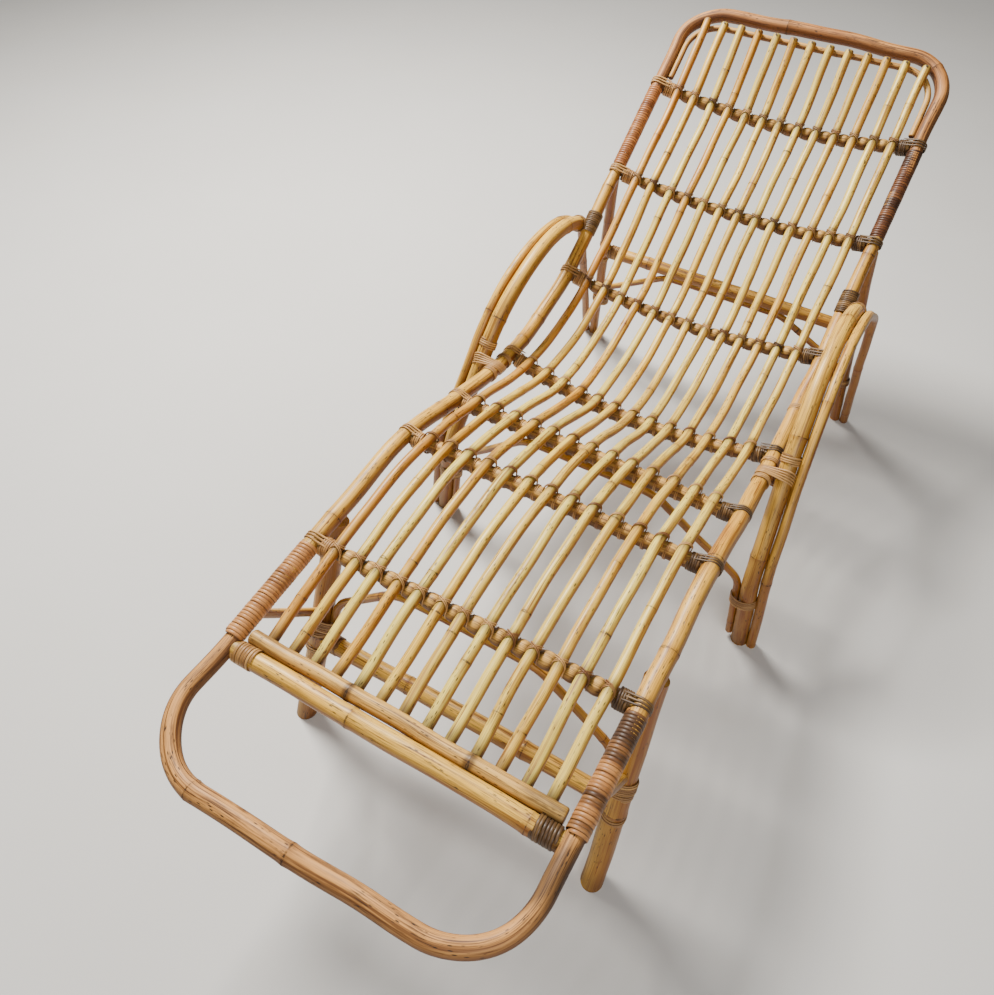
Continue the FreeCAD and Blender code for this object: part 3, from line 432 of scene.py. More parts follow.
def new_tree(name, sockets):
    tree = bpy.data.node_groups.new(name, "GeometryNodeTree")
    tree.interface.new_socket("Geometry", in_out="INPUT", socket_type="NodeSocketGeometry")
    inputs = {label: tree.interface.new_socket(label, in_out="INPUT", socket_type=kind).identifier
              for label, kind in sockets}
    tree.interface.new_socket("Geometry", in_out="OUTPUT", socket_type="NodeSocketGeometry")
    graph = Graph(tree)
    source = tree.nodes.new("NodeGroupInput")
    feeds = {socket.name: Value(graph, socket) for socket in source.outputs if socket.name}
    return tree, inputs, graph, feeds


def named(graph, name, kind="FLOAT"):
    return graph.node("GeometryNodeInputNamedAttribute", {"data_type": kind}, {"Name": name})


def section_place(graph, curve):
    """The profile curve, and the place of each of its points."""
    capture = graph.tree.nodes.new("GeometryNodeCaptureAttribute")
    capture.capture_items.new("VECTOR", "Place")
    where = graph.node("GeometryNodeInputPosition")
    graph.tree.links.new(curve.socket, capture.inputs[0])
    graph.tree.links.new(where.socket, capture.inputs[1])
    return Value(graph, capture.outputs[0]), Value(graph, capture.outputs[1])


def store(graph, geometry, name, value, kind):
    return graph.node("GeometryNodeStoreNamedAttribute", {"data_type": kind, "domain": "POINT"}, {
        "Geometry": geometry, "Name": name, "Value": value})


def close_tree(graph, geometry, feeds):
    """Shade, realise, give the material and end the tree."""
    geometry = graph.node("GeometryNodeSetShadeSmooth", None, {"Geometry": geometry})
    geometry = graph.node("GeometryNodeRealizeInstances", None, {"Geometry": geometry})
    geometry = graph.node("GeometryNodeSetMaterial", None, {
        "Geometry": geometry, "Material": feeds["Material"]})
    graph.node("NodeGroupOutput", None, {"Geometry": geometry})


def dot(graph, first, second):
    return graph.node("ShaderNodeVectorMath", {"operation": "DOT_PRODUCT"}, [first, second], "Value")


def scaled(graph, vector, scale):
    return graph.node("ShaderNodeVectorMath", {"operation": "SCALE"}, {0: vector, "Scale": scale})


def axis_of(graph, vector, axis):
    return graph.node("ShaderNodeSeparateXYZ", None, [vector], axis)


def swept(graph, line, profile):
    """A closed skin along a line, as thick as its points say."""
    return graph.node("GeometryNodeCurveToMesh", None, {
        "Curve": line, "Profile Curve": profile, "Scale": named(graph, "thick"), "Fill Caps": True})


def round_profile(graph, feeds):
    return section_place(graph, graph.node("GeometryNodeCurvePrimitiveCircle", None, {
        "Resolution": feeds["Sides"], "Radius": 1.0}))


# Side the painted light comes from: faces turned away from it get painted shade in the cane materials
PAINTED_LIGHT_SIDE = (-0.35, 0.10, 0.93)
WELD = 1e-5


def grow_cane_tree():
    tree, inputs, graph, feeds = new_tree("cane_on_path", (
        ("Sides", "NodeSocketInt"), ("Grain Radius", "NodeSocketFloat"),
        ("Press Direction", "NodeSocketVector"), ("Tint", "NodeSocketFloat"),
        ("Age", "NodeSocketFloat"), ("Blush", "NodeSocketFloat"),
        ("Material", "NodeSocketMaterial")))
    line = graph.node("GeometryNodeMeshToCurve", None, {"Mesh": feeds["Geometry"]})
    profile, place = round_profile(graph, feeds)
    body = swept(graph, line, profile)

    # Notches are pressed in from one side
    facing = graph.node("GeometryNodeInputNormal")
    sink = named(graph, "press") * dot(graph, facing, feeds["Press Direction"]).over(0.0) * -1
    body = graph.node("GeometryNodeSetPosition", None, {
        "Geometry": body, "Offset": scaled(graph, feeds["Press Direction"], sink)})

    # Feet are cut level with the floor
    height = axis_of(graph, graph.node("GeometryNodeInputPosition"), 2)
    run = named(graph, "run", "FLOAT_VECTOR")
    below = graph.node("FunctionNodeCompare", {"data_type": "FLOAT", "operation": "LESS_THAN"}, {
        0: height, 1: 0.0})
    body = graph.node("GeometryNodeSetPosition", None, {
        "Geometry": body, "Selection": below, "Offset": scaled(graph, run, -height / axis_of(graph, run, 2))})
    body = graph.node("GeometryNodeMergeByDistance", None, {"Geometry": body, "Distance": WELD})

    # What the material reads, with how far each face turns towards the painted light side for its painted
    # shade
    radius = feeds["Grain Radius"]
    grain = graph.node("ShaderNodeCombineXYZ", None, [
        axis_of(graph, place, 0) * radius, axis_of(graph, place, 1) * radius, named(graph, "along")])
    body = store(graph, body, "cane", grain, "FLOAT_VECTOR")
    # Age takes in the stain marks, some of which are painted light and painted shade
    for label, value in (("tint", feeds["Tint"]), ("blush", feeds["Blush"]),
                         ("top", dot(graph, facing, PAINTED_LIGHT_SIDE)),
                         ("age", feeds["Age"] + named(graph, "stain"))):
        body = store(graph, body, label, value, "FLOAT")
    close_tree(graph, body, feeds)
    return tree, inputs


def grow_peel_tree():
    tree, inputs, graph, feeds = new_tree("peel_on_path", (
        ("Sides", "NodeSocketInt"), ("Width", "NodeSocketFloat"), ("Thickness", "NodeSocketFloat"),
        ("Material", "NodeSocketMaterial")))
    line = graph.node("GeometryNodeMeshToCurve", None, {"Mesh": feeds["Geometry"]})
    line = graph.node("GeometryNodeSetCurveNormal", {"mode": "FREE"}, {
        "Curve": line, "Normal": named(graph, "outward", "FLOAT_VECTOR")})
    profile, place = round_profile(graph, feeds)
    flat = graph.node("ShaderNodeCombineXYZ", None, [feeds["Thickness"] * 0.5, feeds["Width"] * 0.5, 1.0])
    profile = graph.node("GeometryNodeTransform", None, {"Geometry": profile, "Scale": flat})
    body = swept(graph, line, profile)
    spread = graph.node("ShaderNodeCombineXYZ", None, [
        axis_of(graph, place, 0), axis_of(graph, place, 1), named(graph, "along")])
    body = store(graph, body, "peel", spread, "FLOAT_VECTOR")
    close_tree(graph, body, feeds)
    return tree, inputs


cane_tree, cane_inputs = grow_cane_tree()
peel_tree, peel_inputs = grow_peel_tree()


def grown(name, lines, tree, inputs, settings):
    """The plain mesh that a tree grows on lines of points; each line is its points and their attributes."""
    mesh = bpy.data.meshes.new(name + "_lines")
    points = np.concatenate([line["points"] for line in lines])
    edges = []
    start = 0
    for line in lines:
        count = len(line["points"])
        edges += [(start + index, start + index + 1) for index in range(count - 1)]
        start += count
    mesh.from_pydata(points.tolist(), edges, [])
    for key in lines[0]:
        if key == "points":
            continue
        values = np.concatenate([line[key] for line in lines])
        kind, slot = ("FLOAT_VECTOR", "vector") if values.ndim == 2 else ("FLOAT", "value")
        mesh.attributes.new(key, kind, "POINT").data.foreach_set(slot, values.astype(np.float32).ravel())
    seed = bpy.data.objects.new(name + "_seed", mesh)
    bpy.context.scene.collection.objects.link(seed)
    grower = seed.modifiers.new("grow", "NODES")
    grower.node_group = tree
    for label, setting in settings.items():
        grower[inputs[label]] = setting
    view = bpy.context.evaluated_depsgraph_get()
    plain = bpy.data.meshes.new_from_object(
        seed.evaluated_get(view), preserve_all_data_layers=True, depsgraph=view)
    seed.modifiers.remove(grower)
    bpy.data.objects.remove(seed)
    bpy.data.meshes.remove(mesh)
    plain.name = name
    piece = bpy.data.objects.new(name, plain)
    bpy.context.scene.collection.objects.link(piece)
    return piece


def hand_in(piece, node):
    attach(piece, "root")
    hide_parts(node)


# Canes

NODE_RINGS = np.array((-12, -8, -5, -3, -1.8, -0.9, 0, 0.9, 1.8, 3, 5, 8, 12)) * MM
PRESS_RINGS = np.arange(-18, 18.1, 2) * MM
END_RINGS = np.array((0, 0.4, 1.2, 2.6)) * MM
LEAST_RING_GAP, END_TOLERANCE = 0.00025, 1e-4
NO_NODE, NODE_END_ROOM, KNOT_REACH = (-1.0,), 0.03, 0.05
SWELL_REACH, RIDGE_REACH, PINCH_REACH = 0.007, 0.0016, 1.1
END_ROUND, END_NARROWING = 0.0026, 0.14
GIRTH_WAVE, GIRTH_CHANGE, SIDE_WAVE, OTHER_WAVE = 0.31, 0.014, 0.43, 0.37
RUN_SAMPLES, ASKEW, GRAIN_SHIFT = 400, (0.31, 0.43, 0.85), 40
UP = (0.0, 0.0, 1.0)
UNCUT, CUT_FOOT = (False, False), (True, False)


def waves(rng, distance, length, amount):
    """A slow smooth wander along a distance."""
    total = np.zeros_like(distance)
    for scale in (1.0, 0.53, 0.31):
        phase = rng.uniform(0, 2 * math.pi)
        total += math.sqrt(scale) * np.sin(distance * 2 * math.pi / (length * scale) + phase)
    return total * amount / 1.6


def hump(distance, place, reach):
    """1 at a place, falling smoothly to 0 on both sides of it."""
    return np.exp(-((distance - place) / reach) ** 2)


def node_places(rng, length, node_gap):
    """Places of the nodes along a cane, unevenly spaced."""
    places = []
    place = rng.uniform(0.15, 0.95) * node_gap
    while place < length - NODE_END_ROOM:
        places.append(place)
        place += node_gap * rng.uniform(0.72, 1.28)
    return places


def ring_places(length, nodes, presses, step):
    """Distances along a cane at which it has a ring of points."""
    rings = [np.arange(0, length, step), (nodes[:, None] + NODE_RINGS).ravel(), END_RINGS, length - END_RINGS]
    rings += [press[0] + PRESS_RINGS for press in presses]
    distance = np.concatenate(rings)
    distance = np.unique(np.round(distance[(distance >= 0) & (distance <= length)], 5))
    distance = distance[np.concatenate(([True], np.diff(distance) > LEAST_RING_GAP))]
    distance[-1] = length
    return distance


def cane_line(path, radius, seed, node_gap=0.26, swell=0.05, wander=0.0006, step=0.007, presses=(), pinch=0.0,
              grime=(), stains=(), nodes=None, girth=((0, 1), (1, 1)), cut=(True, True)):
    """Points of a cane along a path, with its nodes, notches, grime and painted shade where it meets other
    canes, and rounded ends.
    """
    rng = np.random.default_rng(seed)
    length = travel(path)[-1]
    nodes = node_places(rng, length, node_gap) if nodes is None else nodes
    nodes = np.array(nodes if len(nodes) else NO_NODE)
    distance = ring_places(length, nodes, presses, step)
    points = at(path, distance)
    samples = np.linspace(0, length, RUN_SAMPLES)
    runs = runs_of(at(path, samples))
    run = np.stack([np.interp(distance, samples, runs[:, axis]) for axis in range(3)], axis=-1)
    knot = np.abs(distance[:, None] - nodes).min(axis=1)
    thick = radius * (1 + swell * hump(knot, 0, SWELL_REACH) + 0.5 * swell * hump(knot, 0, RIDGE_REACH)
                      + waves(rng, distance, GIRTH_WAVE, GIRTH_CHANGE))
    thick *= np.interp(distance / length, *zip(*girth))
    press, dirt_and_shade, stain, ends = (np.zeros_like(distance) for row in range(4))
    for place, depth, reach in presses:
        press = np.maximum(press, depth * np.exp(-(np.abs(distance - place) / reach) ** 4))
        thick *= 1 - pinch * hump(distance, place, reach * PINCH_REACH)
    # Grime and painted shade where the cane meets other canes or the floor
    for place, reach, amount in grime:
        dirt_and_shade = np.maximum(dirt_and_shade, amount * hump(distance, place, reach))
    # Stains, and painted light where a mark pales a side; both go into the age that the material reads
    for place, reach, amount in stains:
        stain += amount * hump(distance, place, reach)
    for near_end, is_cut in zip((distance, length - distance), cut):
        if is_cut:
            thick *= 1 - END_NARROWING * np.clip(1 - near_end / END_ROUND, 0, 1) ** 2
            ends[near_end < END_TOLERANCE] = 1
    side = np.cross(run, ASKEW)
    side /= np.linalg.norm(side, axis=1, keepdims=True)
    other = np.cross(run, side)
    for way, wave in ((side, SIDE_WAVE), (other, OTHER_WAVE)):
        points = points + way * waves(rng, distance, wave, wander)[:, None]
    return {"points": points, "thick": thick, "along": distance + rng.uniform(0, GRAIN_SHIFT),
            "knot": np.minimum(knot, KNOT_REACH), "press": press, "grime": dirt_and_shade, "end": ends, "run": run,
            "stain": stain}


Finish = namedtuple("Finish", "material slot")


def cane(name, path, radius, seed, finish, sides=18, tint=0.0, age=0.0, blush=0.0, press_way=UP, **shape):
    """A finished cane that takes the place of the CAD node of the same name."""
    line = cane_line(path, radius, seed, **shape)
    piece = grown("cane_" + name, [line], cane_tree, cane_inputs, {
        "Sides": sides, "Grain Radius": radius, "Press Direction": tuple(press_way), "Tint": tint, "Age": age,
        "Blush": blush, "Material": finish.material})
    hand_in(piece, name)


# Finishes: pale, honey, brown and dark colours, then amounts of streaks, specks, grain and sheen

pole_cane = Finish(cane_material(
    "pole_cane", tone(250, 198, 84), tone(222, 146, 38), tone(118, 60, 13), tone(30, 15, 6),
    0.9, 0.9, 0.35, 0.34), "pole_cane")
hoop_cane = Finish(cane_material(
    "hoop_cane", tone(220, 158, 84), tone(176, 112, 44), tone(88, 47, 17), tone(26, 14, 7),
    0.95, 1.0, 0.75, 0.14), "pole_cane")
rung_cane = Finish(cane_material(
    "rung_cane", tone(236, 184, 92), tone(200, 132, 48), tone(96, 52, 17), tone(22, 12, 6),
    0.8, 0.9, 0.5, 0.24), "rung_cane")
slat_cane = Finish(cane_material(
    "slat_cane", tone(255, 226, 106), tone(246, 182, 50), tone(142, 78, 18), tone(36, 18, 7),
    0.8, 0.95, 0.3, 0.36), "slat_cane")

# Side rails and hoops; ties and other grime with painted shade are place, reach and amount, and so are
# stains, some of them painted light

RAIL_POINTS = 500
RAIL_GIRTH = ((0, 0.85), (0.08, 0.86), (0.25, 1), (0.9, 1), (1, 0.95))
RAIL_LOOKS = {
    "left": {"tint": 0.08, "blush": 0.12, "nodes": (0.135, 0.44, 0.50, 0.78, 1.06)},
    "right": {"tint": 0.2, "blush": 0.2, "nodes": (0.12, 0.33, 0.62, 0.86, 1.02)},
}
for hand, side in SIDES:
    path = at(frame_line, np.linspace(head_scarf, foot_scarf, RAIL_POINTS)) + across(side * HALF_WIDTH)
    # Grime and painted shade where the rungs meet the rail
    ties = [(rung.place - head_scarf, 0.014, 0.55) for rung in RUNGS if head_scarf < rung.place < foot_scarf]
    cane(hand + "_side_rail", path, RAIL_R, 11 + side, pole_cane, grime=ties, cut=UNCUT, swell=0.04,
         girth=RAIL_GIRTH, wander=0.0012, **RAIL_LOOKS[hand])

CROWN_SHARE = 0.9


def hoop(apex, inward, end, half_span, corner, crown, skew=0.0):
    """A U from one end to the other: two legs, two bends and a crowned cross run."""
    lean = math.atan2(crown, half_span)
    flat_run = math.hypot(half_span, crown) - corner * math.tan((math.pi / 2 - lean) / 2)
    crown_bend = CROWN_SHARE * flat_run / math.tan(lean)
    peak = crown_bend * (1 / math.cos(lean) - 1)
    wide, aslant = across(half_span), inward * skew
    shoulder, tip = apex + inward * (crown - peak), apex + inward * end
    corners = [tip - wide, shoulder - wide - aslant, apex - inward * peak,
               shoulder + wide + aslant, tip + wide]
    return rounded(corners, [corner, crown_bend, corner])


head_down, foot_up = run_at(0), -run_at(frame_length)
head_path = hoop(frame_corners[0], head_down, head_scarf, HALF_WIDTH, HEAD_CORNER, HEAD_CROWN)
cane("head_hoop", head_path, HEAD_HOOP_R, 21, hoop_cane, tint=0.25, age=0.3, blush=0.2, cut=UNCUT,
     nodes=(0.42, 0.70), step=0.006, wander=0.0014,
     girth=((0, 0.92), (0.1, 0.95), (0.25, 1), (0.75, 1), (0.9, 0.95), (1, 0.92)))
foot_path = hoop(frame_corners[3], foot_up, frame_length - foot_scarf, HALF_WIDTH, FOOT_CORNER, FOOT_CROWN,
                 FOOT_SKEW)
foot_around = travel(foot_path)[-1]
# The first stain mark is painted light that pales the left leg; the other two are dark marks on the right leg
# and on the cross run
cane("foot_hoop", foot_path, FOOT_HOOP_R, 22, hoop_cane, tint=0.05, age=0.2, blush=0.06, cut=UNCUT,
     nodes=(0.30, 0.44), step=0.005, wander=0.0018,
     girth=((0, 1), (0.3, 1), (0.5, 1.06), (0.75, 0.97), (1, 0.98)),
     stains=((0.10, 0.10, -0.2), (foot_around - 0.13, 0.05, 0.6), (0.372, 0.003, 0.3)))

# Slats, over the liner and the rungs, down to the cane at their feet

SLAT_STEPS = 20
SLAT_BLUSHES = (0.62, -0.1, 0.0, 0.22, -0.3, 0.0, 0.3, -0.22, 0.08, -0.3, 0.26, -0.1, 0.16)
rng = np.random.default_rng(5)
slat_points = []
for number in range(SLAT_COUNT):
    x = (number - (SLAT_COUNT - 1) / 2) * SLAT_PITCH
    points = [station(LINER_INSET - SLAT_OVERHANG, LINER_R + SLAT_R - LINER_NOTCH, x)]
    for rung in RUNGS:
        place = x + rng.uniform(-1, 1) * SLAT_STRAY
        points.append(rung_point(rung, place) + lift_at(rung.place) * (RUNG_R + SLAT_R - rung.notch))
    points.append(station(end_rail_at - END_RAIL_R + SLAT_END_REACH, END_RAIL_DROP - CROSSBAR_DROP, x))
    slat_points.append(points)
slat_paths = [smooth_path(points, SLAT_STEPS) for points in slat_points]
slat_tints = rng.uniform(-0.45, 0.40, SLAT_COUNT)
for number, path in enumerate(slat_paths):
    run = travel(path)
    # Grime and painted shade where the slat crosses the rungs and meets the canes at its ends
    ties = [(run[SLAT_STEPS * (index + 1)], 0.013, 0.72) for index in range(len(RUNGS))]
    ties += [(run[-1], 0.026, 0.95), (0, 0.008, 0.6)]
    cane("slat_%02d" % (number + 1), path, SLAT_R, 100 + number, slat_cane, sides=14, tint=slat_tints[number],
         age=rng.uniform(0, 0.25), blush=SLAT_BLUSHES[number], grime=ties, node_gap=0.3, swell=0.035,
         wander=0.0010)


def slat_run(number, crossing):
    """Direction of a slat at a crossing."""
    path, index = slat_paths[number], SLAT_STEPS * crossing
    return unit(path[index + 1] - path[index - 1])


# Rungs, notched for the slats and pinched between beads

RUNG_POINTS = 160
for index, rung in enumerate(RUNGS):
    beaded = is_beaded(rung)
    reach = HALF_WIDTH - COPE_INSET
    path = np.array([rung_point(rung, x) for x in np.linspace(-reach, reach, RUNG_POINTS)])
    run = travel(path)
    # Grime and painted shade at the rung's ends and where the slats cross it
    presses, ties = [], [(0, 0.02, 0.8), (run[-1], 0.02, 0.8)]
    for points in slat_points:
        where = np.interp(points[index + 1][0], path[:, 0], run)
        presses.append((where, rung.notch * NOTCH_SHOWN, NOTCH_REACH))
        ties.append((where, 0.0125, 1.0 if beaded else 0.6))
    cane(rung.name + "_rung", path, rung.girth, 40 + index, rung_cane, sides=20, tint=rng.uniform(-0.05, 0.2),
         age=0.22 if beaded else 0.05, press_way=lift_at(rung.place), presses=presses, pinch=rung.parting,
         grime=ties, nodes=(), step=0.0035, cut=UNCUT)


# Crossbar, the cane that the slats butt against, and the liner in the head hoop

def rail_ends(distance, drop, inset=COPE_INSET):
    return np.array([station(distance, -drop, side * (HALF_WIDTH - inset)) for hand, side in SIDES])


# Grime and painted shade at the crossbar's ends, against the rails
cane("front_crossbar", rail_ends(CROSSBAR_AT, CROSSBAR_DROP), CROSSBAR_R, 61, pole_cane, sides=22, tint=0.05,
     nodes=(0.185, 0.43), grime=((0, 0.03, 0.6), (0.472, 0.03, 0.6)), cut=UNCUT, wander=0.0012)
cane("slat_end_rail", rail_ends(end_rail_at, CROSSBAR_DROP, END_RAIL_INSET), END_RAIL_R, 62, rung_cane,
     sides=14, tint=0.12, age=0.1, nodes=(0.155, 0.33), wander=0.0012,
     stains=((0.0, 0.10, 0.4), (0.155, 0.007, 0.7), (0.27, 0.010, 0.3), (0.33, 0.008, 0.8),
             (0.44, 0.05, 0.6)))
liner_half = HALF_WIDTH - HEAD_HOOP_R - FIT_GAP - LINER_R
liner_top, liner_end = station(LINER_INSET), head_at - LINER_INSET - RUNG_R - LINER_STOP
liner_corners = [liner_top + head_down * end + across(x) for end, x in (
    (liner_end, -liner_half), (0, -liner_half), (0, liner_half), (liner_end, liner_half))]
cane("head_liner", rounded(liner_corners, (LINER_CORNER, LINER_CORNER)), LINER_R, 63, rung_cane, sides=12,
     tint=0.25, age=0.25, node_gap=0.2)

# Arms and their thin riders

arm_slope = slope(ARM_LEAN)


def arm_point(side, back, height, outside=0.0):
    """Point of an arm at a place behind the seat rung and a height."""
    return point(side * (ARM_SPREAD / 2 - height * arm_slope + outside), seat_y + back, height)


def falling(back):
    """Place on the falling line of an arm."""
    return back, tail[2] - (back - tail_back) * slope(TAIL_ANGLE)


def bow_corner():
    """Where the rising line of an arm meets its falling line."""
    start = KNUCKLE_HEIGHT - slope(SHIN_ANGLE) * KNUCKLE_BACK
    meet = (tail[2] + slope(TAIL_ANGLE) * tail_back - start) / (slope(SHIN_ANGLE) + slope(TAIL_ANGLE))
    return meet, start + slope(SHIN_ANGLE) * meet


def bend_before(before, corner, end, straight):
    """Radius of the bend at a corner that leaves a straight run before the end."""
    half = math.acos(unit(before - corner) @ unit(end - corner)) / 2
    return (np.linalg.norm(end - corner) - straight) * math.tan(half)


def sunk(foot, above):
    """A foot carried on through the floor, where it is cut level."""
    return foot + unit(foot - above) * SINK


tail = station(TAIL_AT)
tail_back = tail[1] - seat_y
tail_end = falling(tail_back + TAIL_PAST)
arm_low = [(ARM_FOOT_BACK, 0.0), (KNUCKLE_BACK, KNUCKLE_HEIGHT)]
rider_out = ARM_R + RIDER_R + RIDER_GAP
back_foot_y = station(upper_back_at, -RUNG_DROP)[1] + BACK_RAKE
arm_legs, arm_paths = {}, {}
for hand, side in SIDES:
    corners = [arm_point(side, *place) for place in arm_low + [bow_corner(), tail_end]]
    arm_legs[hand] = corners[:2]
    arm_bends = (KNUCKLE_BEND, bend_before(*corners[1:], TAIL_RUN))
    arm_paths[hand] = rounded([sunk(*corners[:2])] + corners[1:], arm_bends)
    # Grime and painted shade at the arm's foot, where it meets the floor
    cane(hand + "_arm_pole", arm_paths[hand], ARM_R, 71 + side, pole_cane, tint=-0.1 + 0.08 * side,
         node_gap=0.28, swell=0.045, grime=((SINK, 0.05, 0.5),), wander=0.0005,
         girth=((0, 1.04), (0.3, 1), (1, 0.96)))
    corners = [arm_point(side, *place, rider_out)
               for place in arm_low + [bow_corner(), falling(RIDER_SHOULDER_BACK)]]
    rear_foot = point(side * (BACK_SPREAD / 2 + BACK_LEG_R + RIDER_R + FIT_GAP), back_foot_y, 0)
    path = rounded([sunk(*corners[:2])] + corners[1:] + [sunk(rear_foot, corners[-1])],
                   arm_bends + (SHOULDER_BEND,))
    cane(hand + "_arm_rider", path, RIDER_R, 75 + side, pole_cane, sides=14, tint=0.1, node_gap=0.24,
         age=0.06, blush=0.1)

# Straight legs, bars, braces and arches

back_legs, front_legs = {}, {}
for hand, side in SIDES:
    top = rung_point(rung_named["upper_back"], side * (HALF_WIDTH - BACK_LEG_INSET))
    top = top - point(0, 0, BACK_LEG_TOP_DROP)
    foot = point(side * BACK_SPREAD / 2, back_foot_y, 0)
    back_legs[hand] = (foot, top)
    cane(hand + "_back_leg", np.array([sunk(foot, top), top]), BACK_LEG_R, 81 + side, pole_cane, tint=0.2,
         age=0.15, cut=CUT_FOOT)
    top = station(FRONT_LEG_AT, -FRONT_LEG_DROP, side * HALF_WIDTH)
    foot = point(side * FRONT_SPREAD / 2, top[1] - FRONT_REACH, 0)
    front_legs[hand] = (foot, top)
    # Grime and painted shade at the leg's foot, where it meets the floor
    cane(hand + "_front_leg", np.array([sunk(foot, top), top - (top - foot) * FRONT_LEG_SHORT]), FRONT_LEG_R,
         85 + side, pole_cane, sides=22, tint=0.22, age=0.12, cut=CUT_FOOT, grime=((SINK, 0.04, 0.5),))


def on_leg(leg, height, inward=0.0, side=1):
    """Point of a leg's axis at a height, or beside it towards the middle of the chaise."""
    foot, top = leg
    axis = unit(top - foot)
    beside = across(-side) - axis * (axis @ across(-side))
    return foot + axis * (height / axis[2]) + unit(beside) * inward


def bar_ends(legs, height, inset):
    return np.array([on_leg(legs[hand], height) - across(side * inset) for hand, side in SIDES])


for name, legs, height, radius, seed in (
        ("back_crossbar", back_legs, BACK_BAR_HEIGHT, BACK_BAR_R, 91),
        ("front_stretcher", front_legs, STRETCHER_HEIGHT, STRETCHER_R, 92)):
    cane(name, bar_ends(legs, height, LEG_COPE), radius, seed, pole_cane, tint=0.15, age=0.2, cut=UNCUT)
for hand, side in SIDES:
    start, end = on_leg(front_legs[hand], BRACE_HEIGHT), station(BRACE_AT, 0, side * HALF_WIDTH)
    way = unit(end - start)
    path = np.array([start + way * BRACE_COPE, end - way * BRACE_COPE])
    cane(hand + "_knee_brace", path, BRACE_R, 94 + side, pole_cane, sides=12, tint=0.2, age=0.2, cut=UNCUT)


def under(spot, drop):
    """Middle of an arch's top, under a cane."""
    return point(0, spot[1], spot[2] - drop - ARCH_R - FIT_GAP)


# Arches: lower end, run along the leg, height of the binding, flat top and its middle

Arch = namedtuple("Arch", "node legs leg_radius low run bound_at flat top")
ARCHES = (
    Arch("mid_arch_brace", arm_legs, ARM_R, 0.014, 0.150, 0.118, 0.230,
         under(rung_point(rung_named["seat"], 0), RUNG_R + ARCH_ROOM)),
    Arch("front_arch_brace", front_legs, FRONT_LEG_R, 0.180, 0.055, 0.195, 0.220,
         under(rung_point(rung_named["calf"], 0), RUNG_R + ARCH_ROOM)),
    Arch("back_arch_brace", back_legs, BACK_LEG_R, 0.110, 0.055, 0.125, 0.250,
         under(on_leg(back_legs["left"], BACK_BAR_HEIGHT), BACK_BAR_R)),
)


def beside_leg(arch):
    return arch.leg_radius + ARCH_R + FIT_GAP


for number, arch in enumerate(ARCHES):
    beside = beside_leg(arch)
    ends = [[on_leg(arch.legs[hand], arch.low, beside, side),
             on_leg(arch.legs[hand], arch.low + arch.run, beside, side),
             arch.top + across(side * arch.flat / 2)] for hand, side in SIDES]
    path = rounded(ends[0] + ends[1][::-1], [ARCH_BEND] * 4)
    cane(arch.node, path, ARCH_R, 97 + number, pole_cane, sides=12, tint=0.25, age=0.2, node_gap=0.2)

# Peel: strands wound round canes and lashed over slats

TURN_STEPS = 26
TUCK_RUN, TUCK_THIN, PEEL_SHIFT = 0.006, 0.45, 60
PEEL_GAP, RING_ROOM = 0.0001, 0.0012
UNEVEN_PITCH, UNEVEN_GIRTH = 0.10, (-0.00012, 0.00028)
DRAWN_TURNS, DRAWN_DEPTH = 0.3, 0.0009


def strand_line(points, outward, tint, age, seed):
    """A strand's points with what the tree needs, thinned where it is tucked in."""
    runs = runs_of(points)
    outward = outward - runs * np.sum(outward * runs, axis=1, keepdims=True)
    outward = outward / np.linalg.norm(outward, axis=1, keepdims=True)
    run = travel(points)
    thick = np.clip(np.minimum(run, run[-1] - run) / TUCK_RUN + TUCK_THIN, 0, 1)
    start = np.random.default_rng(seed).uniform(0, PEEL_SHIFT)
    return {"points": points, "outward": outward, "thick": thick, "along": run + start,
            "tint": np.full(len(points), tint), "age": np.broadcast_to(age, len(points))}


def wound(middle, axis, side, long_half, short_half, turns, pitch, seed, tint=0.0, age=0.0, tilt=0.0,
          stain=None):
    """A strand wound round an ellipse, a little unevenly, with both ends drawn in."""
    rng = np.random.default_rng(seed)
    axis = unit(axis)
    side = unit(side - axis * (axis @ side))
    up = np.cross(axis, side)
    turn = np.linspace(0, turns, int(turns * TURN_STEPS) + 1)
    angle = 2 * math.pi * turn
    marks = np.arange(turns + 2)
    uneven = np.interp(turn, marks, rng.uniform(-UNEVEN_PITCH, UNEVEN_PITCH, turns + 2)) * pitch
    grow = np.interp(turn, marks, rng.uniform(*UNEVEN_GIRTH, turns + 2))
    drawn = np.clip(np.minimum(turn, turns - turn) / DRAWN_TURNS, 0, 1)
    grow = grow - DRAWN_DEPTH * (1 - drawn)
    slide = (turn - turns / 2) * pitch + uneven + tilt * np.cos(angle)
    points = (middle + axis * slide[:, None] + side * ((long_half + grow) * np.cos(angle))[:, None]
              + up * ((short_half + grow) * np.sin(angle))[:, None])
    outward = side * (np.cos(angle) * short_half)[:, None] + up * (np.sin(angle) * long_half)[:, None]
    old = age if stain is None else age + stain(turn / turns)
    return strand_line(points, outward, tint, old, seed)


def wound_round(middle, axis, radius, thickness, turns, pitch, seed, **more):
    """A strand wound round one cane."""
    reach = radius + thickness / 2 + PEEL_GAP
    side = point(axis[1], -axis[0], axis[2] + 1)
    return wound(middle, axis, side, reach, reach, turns, pitch, seed, **more)


